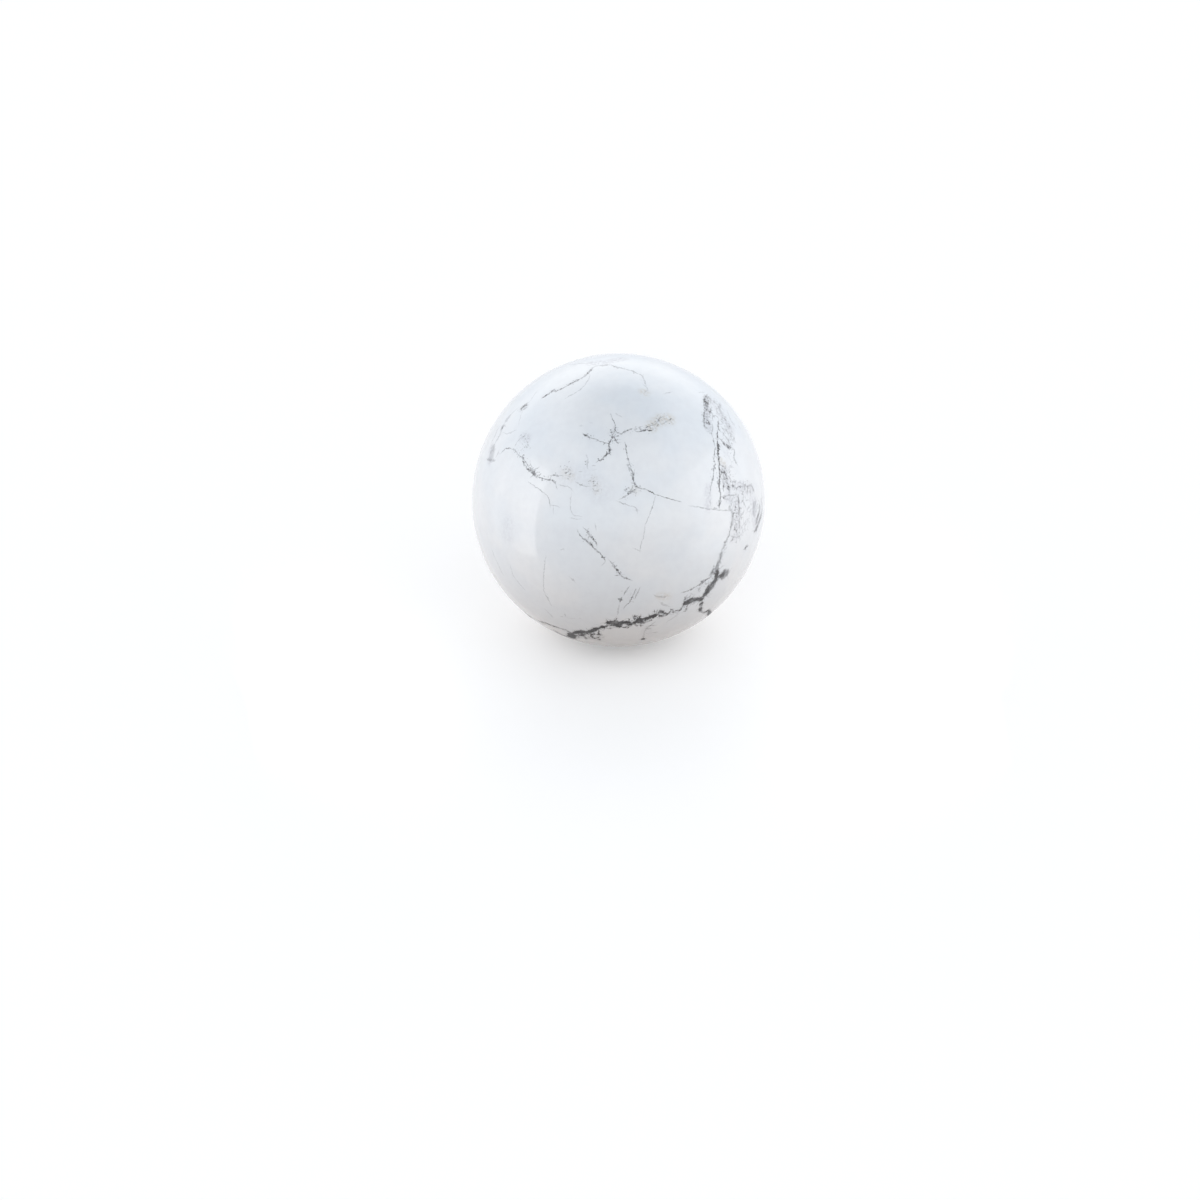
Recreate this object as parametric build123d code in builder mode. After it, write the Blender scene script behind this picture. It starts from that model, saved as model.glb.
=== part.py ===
from build123d import *

import os

# Howlite sphere: one solid ball of white, grey-veined stone, ground round and polished from a single lump.
# Millimetres, +Z up, with the origin at the ball's centre.

# Driving dimension
ball_diameter = 76.0

# The ball: it has no flat, hole, seam or insert, so it is one true sphere
with BuildPart() as howlite_sphere:
    Sphere(radius=ball_diameter / 2)
howlite_sphere.part.label = "howlite_sphere"

# One STEP file for the one piece
os.makedirs("parts", exist_ok=True)
export_step(howlite_sphere.part, "parts/howlite_sphere.step")
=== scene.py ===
# %% [markdown]
# This lesson dresses a ball of howlite. Howlite is a chalky white stone that grows as packed nodules, and
# dark mineral fills the cracks between them. A lump of it is ground round and polished until it shines. The
# solid ball comes from CAD as a fixed frame. It is loaded first, and its box gives the ball's radius.

# %% Load the frame
import functools
import math
import random

import bmesh
import bpy
import numpy as np
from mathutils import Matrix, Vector, kdtree, noise


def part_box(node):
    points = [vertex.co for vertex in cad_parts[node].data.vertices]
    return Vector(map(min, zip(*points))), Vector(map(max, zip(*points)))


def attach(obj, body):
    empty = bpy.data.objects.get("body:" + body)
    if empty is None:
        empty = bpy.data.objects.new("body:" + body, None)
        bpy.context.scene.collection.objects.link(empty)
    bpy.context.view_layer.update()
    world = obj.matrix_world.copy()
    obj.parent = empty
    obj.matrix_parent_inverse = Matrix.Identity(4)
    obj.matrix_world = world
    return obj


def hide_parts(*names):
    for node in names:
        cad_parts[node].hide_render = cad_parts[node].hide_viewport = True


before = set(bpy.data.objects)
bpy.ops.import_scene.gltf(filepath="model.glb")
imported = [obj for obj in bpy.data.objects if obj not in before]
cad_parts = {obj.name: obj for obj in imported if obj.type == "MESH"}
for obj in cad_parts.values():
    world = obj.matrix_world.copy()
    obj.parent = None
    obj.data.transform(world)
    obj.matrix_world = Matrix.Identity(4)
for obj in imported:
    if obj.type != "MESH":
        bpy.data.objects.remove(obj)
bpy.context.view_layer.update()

ball_low, ball_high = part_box("howlite_sphere")
BALL_CENTRE = np.zeros(3)
BALL_RADIUS = min(*-np.array(ball_low), *np.array(ball_high))
MM = 0.001
RADIUS_MM = BALL_RADIUS / MM
print(f"howlite ball: radius {RADIUS_MM:.2f} mm")

# %% [markdown]
# The camera stands where the photograph was taken from. Four facts fix it: the focal length in pixels, how
# far the camera is tipped down, and where the ball's centre and edge fall in the picture. A ball that looks
# small is far away, so its distance follows from its radius in pixels, and no lens shift is needed.

# %% Camera at the photograph's viewing angle
IMAGE_SIDE_PX = 1200.0
FOCAL_PX = 1600.0
SENSOR_WIDTH_MM = 36.0
CAMERA_TIP = math.radians(26.75)
BALL_CENTRE_PX = (618.35, 500.8)
BALL_RADIUS_PX = 146.5

LOOKING = np.array([0.0, math.cos(CAMERA_TIP), -math.sin(CAMERA_TIP)])
UPWARDS = np.array([0.0, math.sin(CAMERA_TIP), math.cos(CAMERA_TIP)])
SIDEWAYS = np.array([1.0, 0.0, 0.0])


def unit(vector):
    """The same direction with a length of 1."""
    return vector / np.linalg.norm(vector)


def sight_line(px, py):
    """The direction, of length 1, in which the camera sees a pixel of the photograph."""
    middle = IMAGE_SIDE_PX / 2
    return unit(LOOKING * FOCAL_PX + SIDEWAYS * (px - middle) + UPWARDS * (middle - py))


to_ball = sight_line(*BALL_CENTRE_PX)
sin_ball = BALL_RADIUS_PX * float(to_ball @ LOOKING) / math.hypot(FOCAL_PX, BALL_RADIUS_PX)
CAMERA_PLACE = BALL_CENTRE - to_ball * BALL_RADIUS / sin_ball

camera = bpy.data.objects.new("camera", bpy.data.cameras.new("camera"))
camera.data.sensor_width = SENSOR_WIDTH_MM
camera.data.lens = FOCAL_PX / IMAGE_SIDE_PX * SENSOR_WIDTH_MM
camera.location = CAMERA_PLACE
camera.rotation_euler = (math.pi / 2 - CAMERA_TIP, 0.0, 0.0)
bpy.context.scene.collection.objects.link(camera)
bpy.context.scene.camera = camera
print(f"camera: {BALL_RADIUS / sin_ball / MM:.0f} mm from the ball, lens {camera.data.lens:.0f} mm")

# %% [markdown]
# Every vein of this stone is a route over the ball. A vein that the photograph shows is written as a few
# pixels, given at its bends. Casting each pixel along its sight line onto the ball turns it into a
# place on the stone, so the vein stays where it is from any other side. A vein on the far side is written
# as azimuth and elevation instead: azimuth 0 faces the front, 90 is the right side, and elevation 90 is the
# top.

# %% From pixels and angles to places on the stone
def stone_at_pixel(px, py):
    """The direction from the centre to the place that a pixel shows. A near miss goes to the outline."""
    line = sight_line(px, py)
    start = CAMERA_PLACE - BALL_CENTRE
    along = -float(start @ line)
    inside = along**2 - float(start @ start) + BALL_RADIUS**2
    return unit(start + line * (along - math.sqrt(max(inside, 0.0))))


def stone_at_angles(azimuth, elevation):
    """The direction from the centre to the place at an azimuth and elevation in degrees."""
    a, e = math.radians(azimuth), math.radians(elevation)
    return np.array([math.sin(a) * math.cos(e), -math.cos(a) * math.cos(e), math.sin(e)])


veins = []


def add_vein(to_place, name, half_width, ink, points, wander):
    """Keeps one vein. A point has its place and, where the vein swells or thins, a number for that."""
    places = np.array([to_place(*point[:2]) for point in points])
    swells = np.array([point[2] if len(point) > 2 else 1.0 for point in points])
    veins.append({"name": name, "half_width": half_width, "ink": ink, "wander": wander,
                  "places": places, "swells": swells})


# How far a crack strays, in millimetres, at each length of wave, in millimetres
SEEN_WANDER = ((2.2, 0.14), (0.9, 0.12))
HIDDEN_WANDER = ((17.0, 2.4), (6.0, 1.2), (2.2, 0.4), (0.9, 0.14))
seen = functools.partial(add_vein, stone_at_pixel, wander=SEEN_WANDER)
hidden = functools.partial(add_vein, stone_at_angles, wander=HIDDEN_WANDER)

front = stone_at_pixel(*BALL_CENTRE_PX)
print("front of the ball faces", np.round(front, 3))

# %% [markdown]
# The crown vein runs over the very top of the ball and down its left shoulder, where it breaks into knots.
# Each line gives a name, half the vein's width in millimetres, how dark it is from 0 to 1, and its points.

# %% Veins of the crown
seen("crown_right_run", 0.24, 0.52, [
    (593, 367.5, 1.6), (597, 365.5), (604, 365.5, 1.3), (610, 364.5), (616, 367), (621, 368),
    (627, 369.5), (632, 371, 0.8), (637, 373.5, 0.7), (641, 375, 0.6), (644, 379, 0.6), (646, 385, 0.5)])
seen("crown_left_run", 0.22, 0.7, [
    (593, 367.5, 1.5), (588, 373), (584, 377), (576, 381, 1.2), (570, 384), (562, 389, 1.2), (556, 391),
    (553, 390.5, 1.6), (547, 395), (543, 397.5, 1.8)])
seen("crown_companion", 0.12, 0.35, [(590, 376), (586, 384), (580, 390), (574, 393.5), (566, 398)])
seen("crown_rim_hair", 0.2, 0.3, [(592, 363), (582, 363.3), (571, 364.5)])
seen("crown_tick", 0.14, 0.35, [(537, 391), (533, 396.5), (531, 400)])
seen("crown_loop", 0.14, 0.25, [(643, 384), (648, 389), (644, 393)])
print(len(veins), "veins on the crown")

# %% [markdown]
# Along the left rim the stone has a broad grey vein, seen nearly edge on. It starts in a dark curl below
# the crown.

# %% Veins of the left rim
seen("shoulder_curl", 0.2, 0.55, [(521, 411), (522, 407.5, 1.8), (525, 405.5, 2.0), (528, 405)])
seen("shoulder_curl_twin", 0.2, 0.5, [(522.5, 410), (525, 408, 1.6), (527.5, 407)])
seen("shoulder_curl_tail", 0.1, 0.38, [(522, 412), (520, 418), (518.5, 424)])
seen("left_rim_upper", 0.22, 0.3, [
    (518, 407.5, 0.6), (512.5, 413), (508.5, 417.5, 1.6), (506.3, 420.5, 2.0), (504, 424)])
seen("left_rim_knot", 0.4, 0.5, [(503.6, 424), (502.6, 427, 1.3), (501.6, 430)])
seen("left_rim_core", 0.22, 0.5, [
    (502.6, 427), (501.3, 431), (500, 434.7, 1.4), (498, 438.5), (495.5, 442), (493.5, 447, 0.8),
    (492.5, 453, 0.7)])
seen("left_rim_smear", 1.0, 0.3, [(495, 443, 0.5), (493, 448, 0.8), (491.6, 454, 1.1), (490.6, 461, 1.2)])
seen("left_rim_strand", 0.2, 0.4, [(500, 426), (497, 430), (495.5, 435), (491, 443)])
seen("left_rim_foot", 0.25, 0.45, [(487, 459), (490, 460.3), (492.5, 460.6), (495, 460.4, 1.3)])
seen("left_rim_whisker", 0.14, 0.4, [(499, 450), (498, 453), (496, 457)])
seen("left_small_curve", 0.13, 0.3, [(503, 432.5), (507, 434), (512, 432), (516, 430)])
print(len(veins), "veins so far, with the left rim")

# %% [markdown]
# The left shoulder carries one long vein with a dark knot in its middle. Thin hairs run on from it towards
# the ball's face.

# %% Veins of the left shoulder
seen("shoulder_vein", 0.14, 0.64, [
    (500.7, 453.5, 0.6), (504, 449.7, 0.9), (506, 448.4), (510, 448.3, 0.8), (513.5, 448.8),
    (515.8, 450.8, 1.7), (517.5, 453.5), (519.5, 456), (522.8, 456.8, 1.2), (523.2, 459), (522.3, 461.5),
    (524.7, 464.5, 1.4), (526.5, 467), (529, 469.7, 1.3), (531, 472), (534, 474.5, 1.5),
    (537.5, 477, 1.1), (541.5, 477.8, 0.8), (546, 479.5, 1.1), (551.5, 480.3, 0.9), (554.3, 481.8, 1.2),
    (556, 484.5), (557, 488.5)])
seen("shoulder_strand", 0.11, 0.6, [
    (522.5, 458.5), (525.5, 461.5), (528, 466), (531, 469.5), (533.5, 473)])
seen("shoulder_knot_arm", 0.12, 0.62, [
    (538.5, 467.3), (536, 468.6, 1.3), (534.6, 471, 1.5), (533.6, 475)])
seen("shoulder_knot_cross", 0.1, 0.55, [(530.8, 477.2), (533, 475, 1.4), (536.4, 472.5), (538.6, 472.2)])
seen("shoulder_knot_twin", 0.1, 0.5, [(532.4, 470), (535.2, 473.2, 1.4), (536.6, 477.5)])
seen("shoulder_thorn", 0.11, 0.5, [(530, 461.5), (531, 466), (533, 470)])
seen("shoulder_upper_spur", 0.13, 0.42, [(515, 446), (517, 442), (520.5, 438)])
seen("shoulder_dash", 0.09, 0.6, [(551, 475.7), (556, 475.6, 1.4), (562, 475.8)])
seen("shoulder_hair", 0.09, 0.6, [
    (529, 482, 0.5), (532.5, 484.5, 0.7), (536.5, 487.5), (540.5, 490), (544, 493), (547, 495.8),
    (548.5, 499), (549.7, 503), (550.3, 506.5)])
seen("shoulder_hair_foot", 0.08, 0.52, [(551, 505), (554.5, 505.5), (559, 507)])
seen("shoulder_hair_drop", 0.08, 0.48, [(553.5, 508), (553.5, 512)])
seen("cross_hair", 0.08, 0.4, [(559.5, 485), (566, 486), (570.5, 488), (572.5, 490.5)])
seen("cross_hair_drop", 0.08, 0.36, [
    (571, 494), (570, 503), (570.5, 511), (574, 515), (578, 515.3), (581, 516.5, 1.4)])
seen("cross_hair_foot", 0.08, 0.42, [(571, 518), (576, 518.7), (580.5, 519)])
seen("middle_dash", 0.11, 0.66, [(576.5, 482.5, 0.5), (580, 484.5), (584, 486, 1.3), (588.5, 486.3)])
print(len(veins), "veins so far, with the left shoulder")

# %% [markdown]
# In the middle of the upper half, several short veins meet in a ragged star. One arm fades to the right in
# beige smears.

# %% Veins of the star
seen("star_left_arm", 0.12, 0.66, [
    (583.5, 433.5, 1.2), (585.5, 435.5, 1.6), (591, 438), (596, 439.3), (600.5, 442.3), (605, 442.3),
    (609.5, 444, 1.2)])
seen("star_stem", 0.13, 0.72, [
    (610.8, 414.5, 0.5), (612.5, 419, 0.6), (614.5, 424, 0.7), (616, 428), (614.6, 432, 1.3),
    (613, 436.5, 1.5), (610.5, 441), (608.3, 445, 1.2), (609.8, 450), (609.2, 453.7, 1.8), (605.8, 455.2),
    (602.7, 458.7, 1.2), (600, 460.3), (597, 461.8, 1.3)])
seen("star_cross", 0.12, 0.55, [
    (611.3, 430.5), (611.7, 432.8, 1.8), (613.2, 436), (615.5, 439.3, 1.2), (617.6, 442)])
seen("star_bridge", 0.11, 0.45, [(612.3, 430.8), (616.5, 432.6, 1.3), (621, 433.9)])
seen("star_dash", 0.13, 0.42, [(616, 413.5), (621.5, 416.8)])
seen("star_right_arm", 0.12, 0.74, [(621, 434), (625.5, 431.3, 1.2), (628.5, 429.9), (632.3, 428.4, 1.3)])
seen("star_right_reach", 0.11, 0.8, [
    (635.5, 431, 0.7), (640, 431.6, 0.8), (643.5, 431, 1.4), (646.3, 429), (650, 430.6, 1.5),
    (653.6, 429.4)])
seen("star_right_rise", 0.11, 0.55, [(645.5, 429.5), (647, 426.5, 1.3), (651, 425.5), (654.3, 424.4)])
seen("star_ring_left", 0.11, 0.5, [(654.5, 424.6), (657.6, 422), (660, 418), (663, 416.7)])
seen("star_ring_right", 0.11, 0.45, [(660.5, 424.2), (665, 423), (668, 420), (672.5, 419.5)])
seen("star_left_tick", 0.13, 0.42, [(586.5, 455.5, 0.6), (588, 460.5), (587.3, 465, 1.2), (587.5, 468.5)])
print(len(veins), "veins so far, with the star")

# %% [markdown]
# Below the star a crooked vein runs down and turns into the long straight line across the ball's face. A
# plumb line drops from that.

# %% Veins of the long line
seen("heart_line", 0.11, 0.62, [
    (625.2, 443.6, 1.3), (626.3, 449.5), (627, 455, 0.6), (628.6, 461, 0.7), (629.9, 463.5, 1.3),
    (630.7, 467.5, 0.8), (632.4, 473, 1.6), (633.2, 478, 1.2), (633.8, 483, 1.2), (636, 486.3, 1.5),
    (638.5, 487.7)])
seen("heart_twin", 0.1, 0.5, [(628, 463), (627.6, 466.5, 1.3), (629.8, 468.6)])
seen("heart_strand", 0.1, 0.55, [(634.6, 470.5), (634, 474.5, 1.4), (632, 477.5), (633, 481)])
seen("long_line", 0.09, 0.9, [
    (638.5, 487.7), (643, 488.8, 1.5), (647, 490, 1.2), (655.5, 494), (667, 497.6, 0.9),
    (675, 500.5, 0.7), (680, 501.7, 0.5)])
seen("long_line_tail", 0.08, 0.65, [(690, 505.8, 0.6), (696, 506.5), (702, 507.5), (706.5, 508.8)])
seen("heart_foot", 0.11, 0.55, [
    (637, 488.5), (633.5, 490.5), (630.5, 492.3, 1.6), (628.5, 494.5), (624.5, 496.7, 1.2),
    (620, 499, 0.6)])
seen("heart_foot_twin", 0.1, 0.5, [(634.5, 492.6), (630.8, 490.2, 1.3), (628.4, 491.6)])
seen("heart_under_hair", 0.08, 0.5, [
    (617.5, 501.3, 0.6), (621.5, 503), (625, 504.3, 1.3), (632.5, 506.2, 0.8), (636.5, 507),
    (637, 512, 1.5)])
seen("plumb_line", 0.08, 0.5, [
    (655, 496.5), (653.5, 503), (649.8, 514), (647.5, 519.5), (645.3, 525), (644.8, 530, 1.2),
    (642.2, 540), (641, 545), (640, 551)])
seen("plumb_line_foot", 0.08, 0.36, [(640, 551), (634, 548.5)])
print(len(veins), "veins so far, with the long line")

# %% [markdown]
# Below the middle a twin-stranded vein slants down to the right, with steep ticks under its end. Thin grey
# hairs follow the lower left side.

# %% Veins of the lower face
seen("slant_vein", 0.14, 0.72, [
    (577.7, 531, 0.8), (582.5, 538), (590.5, 544, 1.4), (595, 550), (599, 551.6, 1.4), (602, 555, 0.8),
    (605, 560.5, 1.8)])
seen("slant_vein_tail", 0.14, 0.74, [
    (609.3, 560.3, 0.7), (612.5, 563.5), (617.5, 571, 1.2), (622, 576.5, 1.2), (625.5, 578.3, 1.2),
    (628, 578.9, 1.8), (630.8, 580, 0.6)])
seen("slant_twin", 0.13, 0.66, [
    (584, 528), (587, 531, 1.6), (588.3, 534.5, 1.2), (592, 537), (596.5, 543.5), (597, 547)])
seen("slant_tick", 0.12, 0.42, [(605, 561.5), (602.3, 565)])
seen("pin", 0.1, 0.4, [(595.3, 524.5), (596, 530, 1.3)])
seen("steep_tick_one", 0.15, 0.72, [(629, 587), (626, 590.5, 1.2), (624.3, 594.7)])
seen("steep_tick_two", 0.15, 0.7, [
    (635.5, 589.5, 0.7), (633.5, 594), (630.2, 601.5, 1.2), (627, 604.5, 0.7), (623.8, 608.5, 0.5)])
seen("steep_tick_three", 0.13, 0.56, [(639.5, 588), (637, 594), (635, 598.5)])
seen("lone_dab", 0.36, 0.95, [(621.4, 598.2), (620.6, 599.6, 1.3), (619.8, 601)])
seen("speck_tail", 0.14, 0.34, [(619.7, 603), (617.5, 614.5)])
seen("left_hair", 0.11, 0.45, [
    (545.8, 556), (544, 568), (543.4, 582), (543.8, 591), (547.3, 597.5, 1.5), (551, 605, 0.8)])
seen("left_rim_hair_one", 0.2, 0.3, [(492, 550), (496, 560), (503.5, 575)])
seen("left_rim_hair_two", 0.18, 0.3, [(510.5, 566), (513.5, 576), (520, 584.5), (525, 590)])
seen("left_low_hair", 0.18, 0.25, [(545, 609), (553.5, 618)])
seen("little_dash", 0.15, 0.35, [(570.5, 577.5), (575, 582)])
seen("right_low_arc_one", 0.2, 0.35, [(654, 595, 0.7), (658, 596.5), (663.5, 597.2, 1.5), (667.5, 595.8)])
seen("right_low_arc_two", 0.2, 0.3, [(660, 602), (665, 605.5), (670, 606.5)])
seen("left_low_tick", 0.14, 0.34, [(564.6, 613.5), (565, 615.8), (567.5, 618)])
seen("left_low_dash", 0.12, 0.24, [(568, 618), (575, 618.6)])
print(len(veins), "veins so far, with the lower face")

# %% [markdown]
# The bottom vein is the darkest on the stone: a ragged black-grey seam that rises to the right and ends in
# a block. Short tabs stand up from it where it breaks into the cracks between nodules.

# %% Veins of the bottom seam
seen("bottom_left_start", 0.26, 0.9, [
    (543, 622, 0.8), (546.5, 623.4, 1.6), (551, 625, 0.8), (557, 627.3, 0.8), (562, 629),
    (565.5, 629.8, 1.3), (568, 631.3, 1.5), (570.5, 632.5, 1.8), (573, 633.5, 2.0)])
# A dark line drawn just inside the ball's lower outline, below the seam's left start.
seen("bottom_rim_run", 0.4, 0.85, [
    (553, 629.6, 0.5), (556, 631.6), (560, 633.9), (565, 636, 1.3), (570, 637.8, 1.4)])
seen("seam_left_block", 0.92, 0.98, [(572.8, 633.8), (572, 636, 1.1), (571, 637.8, 0.9)])
seen("bottom_seam", 0.52, 0.98, [
    (570.5, 632.7, 0.7), (573.5, 633.5, 0.9), (577, 632.6), (580, 632.2, 1.2), (583.5, 631.7, 1.5),
    (587, 632.3, 1.1), (590.5, 631.8, 1.1), (593, 630.5, 0.9), (595, 629.3, 1.2), (597.5, 628.4, 0.8),
    (600, 628, 0.6), (603.3, 626.8), (606, 626.6, 0.5), (609, 625.4, 0.6)])
seen("seam_lower_edge", 0.34, 0.92, [
    (575.5, 635.2), (579, 635.6), (582.3, 635.2, 1.4), (585.5, 633.8), (589, 633.7), (592, 634.3, 1.3),
    (595.5, 634.6)])
print(len(veins), "veins so far, with the seam's left end")

# %% [markdown]
# The middle of the seam is a tangle. Strands part and join again round a dark blob, then thin out to a hook
# on the right.

# %% Veins of the seam's middle
seen("seam_middle_run", 0.52, 0.98, [
    (604.5, 623.4, 0.4), (608, 622.7, 1.1), (611, 622.8, 1.3), (614.3, 622.3, 1.8), (617, 623.2, 1.2),
    (620, 623.2, 1.1), (624, 622.6, 0.8), (628, 622.4), (630, 624, 1.2)])
seen("seam_lower_strand", 0.38, 0.95, [
    (609, 625.4), (611, 625.2, 1.4), (613.5, 625), (616, 625.3, 1.5), (619.5, 626.3, 1.6),
    (620.3, 624.5)])
seen("seam_lower_hair", 0.2, 0.75, [(606, 628.3), (611, 628.4), (614.3, 627.6)])
seen("seam_hollow", 0.25, 0.85, [(620, 626.8), (624, 627.5), (628, 627.1), (630, 626.3)])
seen("seam_diamond", 0.85, 1.0, [(629.8, 623.9), (630.6, 625.2)])
seen("seam_post", 0.24, 0.95, [(629.4, 622.5, 1.3), (629.6, 620), (629, 618.6, 1.3)])
seen("seam_post_wing", 0.16, 0.7, [(629, 618.5), (626.5, 618.4)])
seen("seam_spur", 0.28, 0.92, [(614.5, 621.5, 1.5), (616, 619.4), (617, 618.5, 0.7)])
seen("seam_to_blob", 0.44, 0.96, [
    (631.5, 623.8), (633.5, 622.8), (636, 622.2, 1.2), (638.5, 621.3, 1.4), (640.3, 621.8, 1.8),
    (642, 622.4, 1.2), (643.5, 622.8), (645.4, 621.4, 0.9), (644.8, 619.8, 0.7)])
seen("seam_blob", 0.85, 1.0, [(637.6, 618.6, 0.8), (639, 619.4, 1.2), (639.6, 618.2)])
seen("blob_ring", 0.27, 0.85, [
    (637, 617.6), (635.3, 615.6, 1.2), (634, 616.8, 1.3), (633.9, 619, 0.9), (635.5, 620.7)])
seen("blob_horn", 0.3, 0.9, [(639.6, 617.5, 1.3), (640.1, 616), (640.4, 615.2, 0.7)])
seen("seam_comb", 0.2, 0.7, [(634, 624.5), (637, 625.6, 1.4), (640, 626)])
seen("seam_foot_tab", 0.3, 0.85, [(640.3, 623.5), (640.8, 626.9, 1.5)])
seen("seam_right_run", 0.44, 0.95, [
    (640.5, 618.3), (644, 618.9, 0.8), (647, 618.6, 1.2), (649, 617.4), (652, 616.5, 0.9),
    (654.5, 615.6, 1.3), (656.5, 614.7, 1.3), (658.2, 614)])
seen("seam_right_strand", 0.27, 0.85, [(647, 622.2), (649.5, 620.9, 1.2), (652, 619)])
seen("seam_dab_one", 0.26, 0.75, [(654.5, 610.5), (654.7, 612.8)])
seen("seam_dab_two", 0.26, 0.75, [(656.8, 610.3), (656.9, 612.6)])
seen("seam_hook", 0.42, 0.92, [
    (658.5, 614.3), (659, 612.8, 1.3), (660.3, 611.4, 1.4), (661.8, 611.8, 1.1), (663.3, 613.2, 0.7),
    (666, 613.8, 0.5), (669, 614.2, 0.4)])
seen("seam_hook_foot", 0.28, 0.88, [
    (658.6, 614.5), (660, 616, 1.2), (662.3, 616.6), (665, 615.8, 0.7), (668, 614.2, 0.6),
    (671, 610.5, 0.6)])
print(len(veins), "veins so far, with the seam's middle")

# %% [markdown]
# Below its left end the seam sends short roots into the white, and some of them close into small cells.

# %% Roots of the seam
seen("root_one", 0.3, 0.98, [(582.6, 634.8), (584, 636.5), (585.4, 637, 1.3), (585.5, 639.3, 1.8)])
seen("root_two", 0.24, 0.85, [(578.6, 636), (579, 638.2)])
seen("root_three", 0.32, 0.98, [(595.5, 634.6), (598.5, 634.6), (601.3, 634.9, 2.4)])
seen("root_loop", 0.26, 0.92, [
    (590.6, 633.8), (592, 636.8), (593.6, 638.5), (597.5, 638), (599.6, 636.9)])
seen("root_tip", 0.36, 0.95, [(598.3, 640.3, 1.2), (600.5, 639.1)])
seen("root_cell_one", 0.23, 0.9, [(593.5, 631), (593.3, 633), (595, 634.4)])
seen("root_cell_two", 0.23, 0.9, [(597, 629), (599, 631.5), (598.3, 634.4)])
print(len(veins), "veins so far, with the bottom seam")

# %% [markdown]
# To the right the seam thins to a small ring, then rises in a thick double-edged run to a grey corner
# block.

# %% Veins of the rise
seen("seam_ring_top", 0.22, 0.85, [
    (672.3, 611.9), (674.5, 610.9, 1.1), (677, 610.8, 1.1), (679.5, 610.9), (681, 608.7), (683, 606, 1.1),
    (684, 604, 1.3), (684.6, 602.3, 1.6)])
seen("seam_ring_bottom", 0.22, 0.85, [
    (672.3, 611.9), (674.5, 613, 1.1), (677.5, 613, 1.1), (679.4, 611.4)])
seen("seam_ring_tail", 0.14, 0.6, [(673, 611.3), (672, 610, 1.3), (670.8, 608.6)])
seen("rise_block", 0.6, 0.84, [
    (684, 601.2, 0.9), (685.5, 602.4, 1.3), (688, 602, 1.4), (690.5, 600.8, 1.3), (693.5, 600, 0.9),
    (697, 599.5, 0.7), (700, 599, 0.9), (702.3, 598.8, 1.3)])
seen("rise_tab", 0.3, 0.96, [(684.6, 600.2, 1.3), (685.5, 598), (686.4, 596.2, 1.2), (687.2, 595.4, 1.7)])
seen("rise_tab_two", 0.24, 0.92, [(690.5, 600, 1.4), (692.3, 598.2, 1.2), (693.6, 596.6, 1.2)])
seen("rise_tab_cap", 0.15, 0.45, [(690.5, 594), (693.5, 594, 1.4)])
seen("rise_knee", 0.6, 0.84, [(701.8, 598.8), (702, 600.8, 0.9)])
seen("rise_left_edge", 0.42, 0.8, [
    (703.5, 597.2, 1.2), (704.2, 594.8), (706, 591.5, 1.1), (708, 588, 1.1), (710.3, 584.8, 1.1),
    (712.3, 582.6, 1.2), (714.3, 580.3)])
seen("rise_right_edge", 0.4, 0.76, [
    (705.5, 596.3, 0.8), (707.3, 594, 0.8), (710.3, 589.5), (712.5, 586.5, 1.2), (715, 583, 1.2),
    (716.8, 580), (718.6, 577.4, 1.5)])
seen("rise_shoulder", 0.4, 0.82, [(699, 599.6), (701.8, 598.8, 1.2), (704.3, 595.6, 1.1), (707, 591.2)])
seen("rise_neck", 0.42, 0.76, [
    (711.3, 585.3), (714, 581.6, 1.1), (716.4, 578.2, 1.3), (717.3, 574.3), (717.8, 569.5)])
seen("rise_corner_bridge", 0.36, 0.62, [(716, 578.6), (719.3, 576.6, 1.3), (722.5, 575.2), (725, 574.8)])
seen("rise_core", 0.5, 0.55, [(706, 594), (709.5, 588.5), (713.5, 583), (717, 578.5)])
seen("rise_twin", 0.19, 0.78, [
    (682, 592.6, 0.8), (685, 592), (688.5, 591, 1.2), (691, 589.8), (694, 587.8, 0.8), (697, 586),
    (700, 584, 0.9), (702.3, 582.3, 2.2), (705, 580.2, 1.1), (708, 578.3, 1.2), (710.5, 576.8, 1.3)])
seen("rise_spur", 0.32, 0.84, [
    (701.8, 601.5, 1.7), (701.4, 605, 1.2), (700.3, 608.6, 1.4), (700.9, 611), (703, 612.3, 0.8),
    (705.8, 611.9, 1.4), (708, 610.3, 1.6), (710, 609)])
seen("rise_spur_tip", 0.28, 0.8, [(708.2, 610.6), (708.9, 613.3, 1.9), (708.5, 616), (706.5, 618.2, 0.5)])
print(len(veins), "veins so far, with the rise")

# %% [markdown]
# A few thin lines lie below the rise, down towards the ball's foot.

# %% Lines below the rise
seen("ring_foot", 0.22, 0.68, [(688.3, 603.5), (687, 607, 1.1), (686.3, 610.4, 1.4), (682, 612.3, 0.8)])
seen("ring_foot_tail", 0.2, 0.5, [(679.5, 613.6), (676, 616, 1.4), (671, 619), (667, 622)])
seen("block_underside", 0.2, 0.42, [(691, 604.8, 0.8), (693.5, 603.6), (695.5, 602.6)])
seen("base_spot", 0.32, 0.92, [(641.6, 640.6, 1.2), (643.2, 638.6, 1.5), (643.3, 637.8, 0.8)])
seen("base_spot_leg", 0.2, 0.75, [(643.6, 639), (645.6, 640.4)])
seen("base_stem", 0.18, 0.5, [(643, 638), (644, 633.5), (646, 629), (650, 625.5), (655, 622)])
seen("base_dash_one", 0.24, 0.65, [(646, 628.5, 0.8), (649, 628.6, 1.3), (651, 628.4)])
seen("base_dash_two", 0.2, 0.55, [(650, 625.6), (655.5, 625.3)])
seen("base_dash_three", 0.2, 0.48, [(653, 632.6), (658, 632.3)])
print(len(veins), "veins so far, with the lines below the rise")

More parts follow.
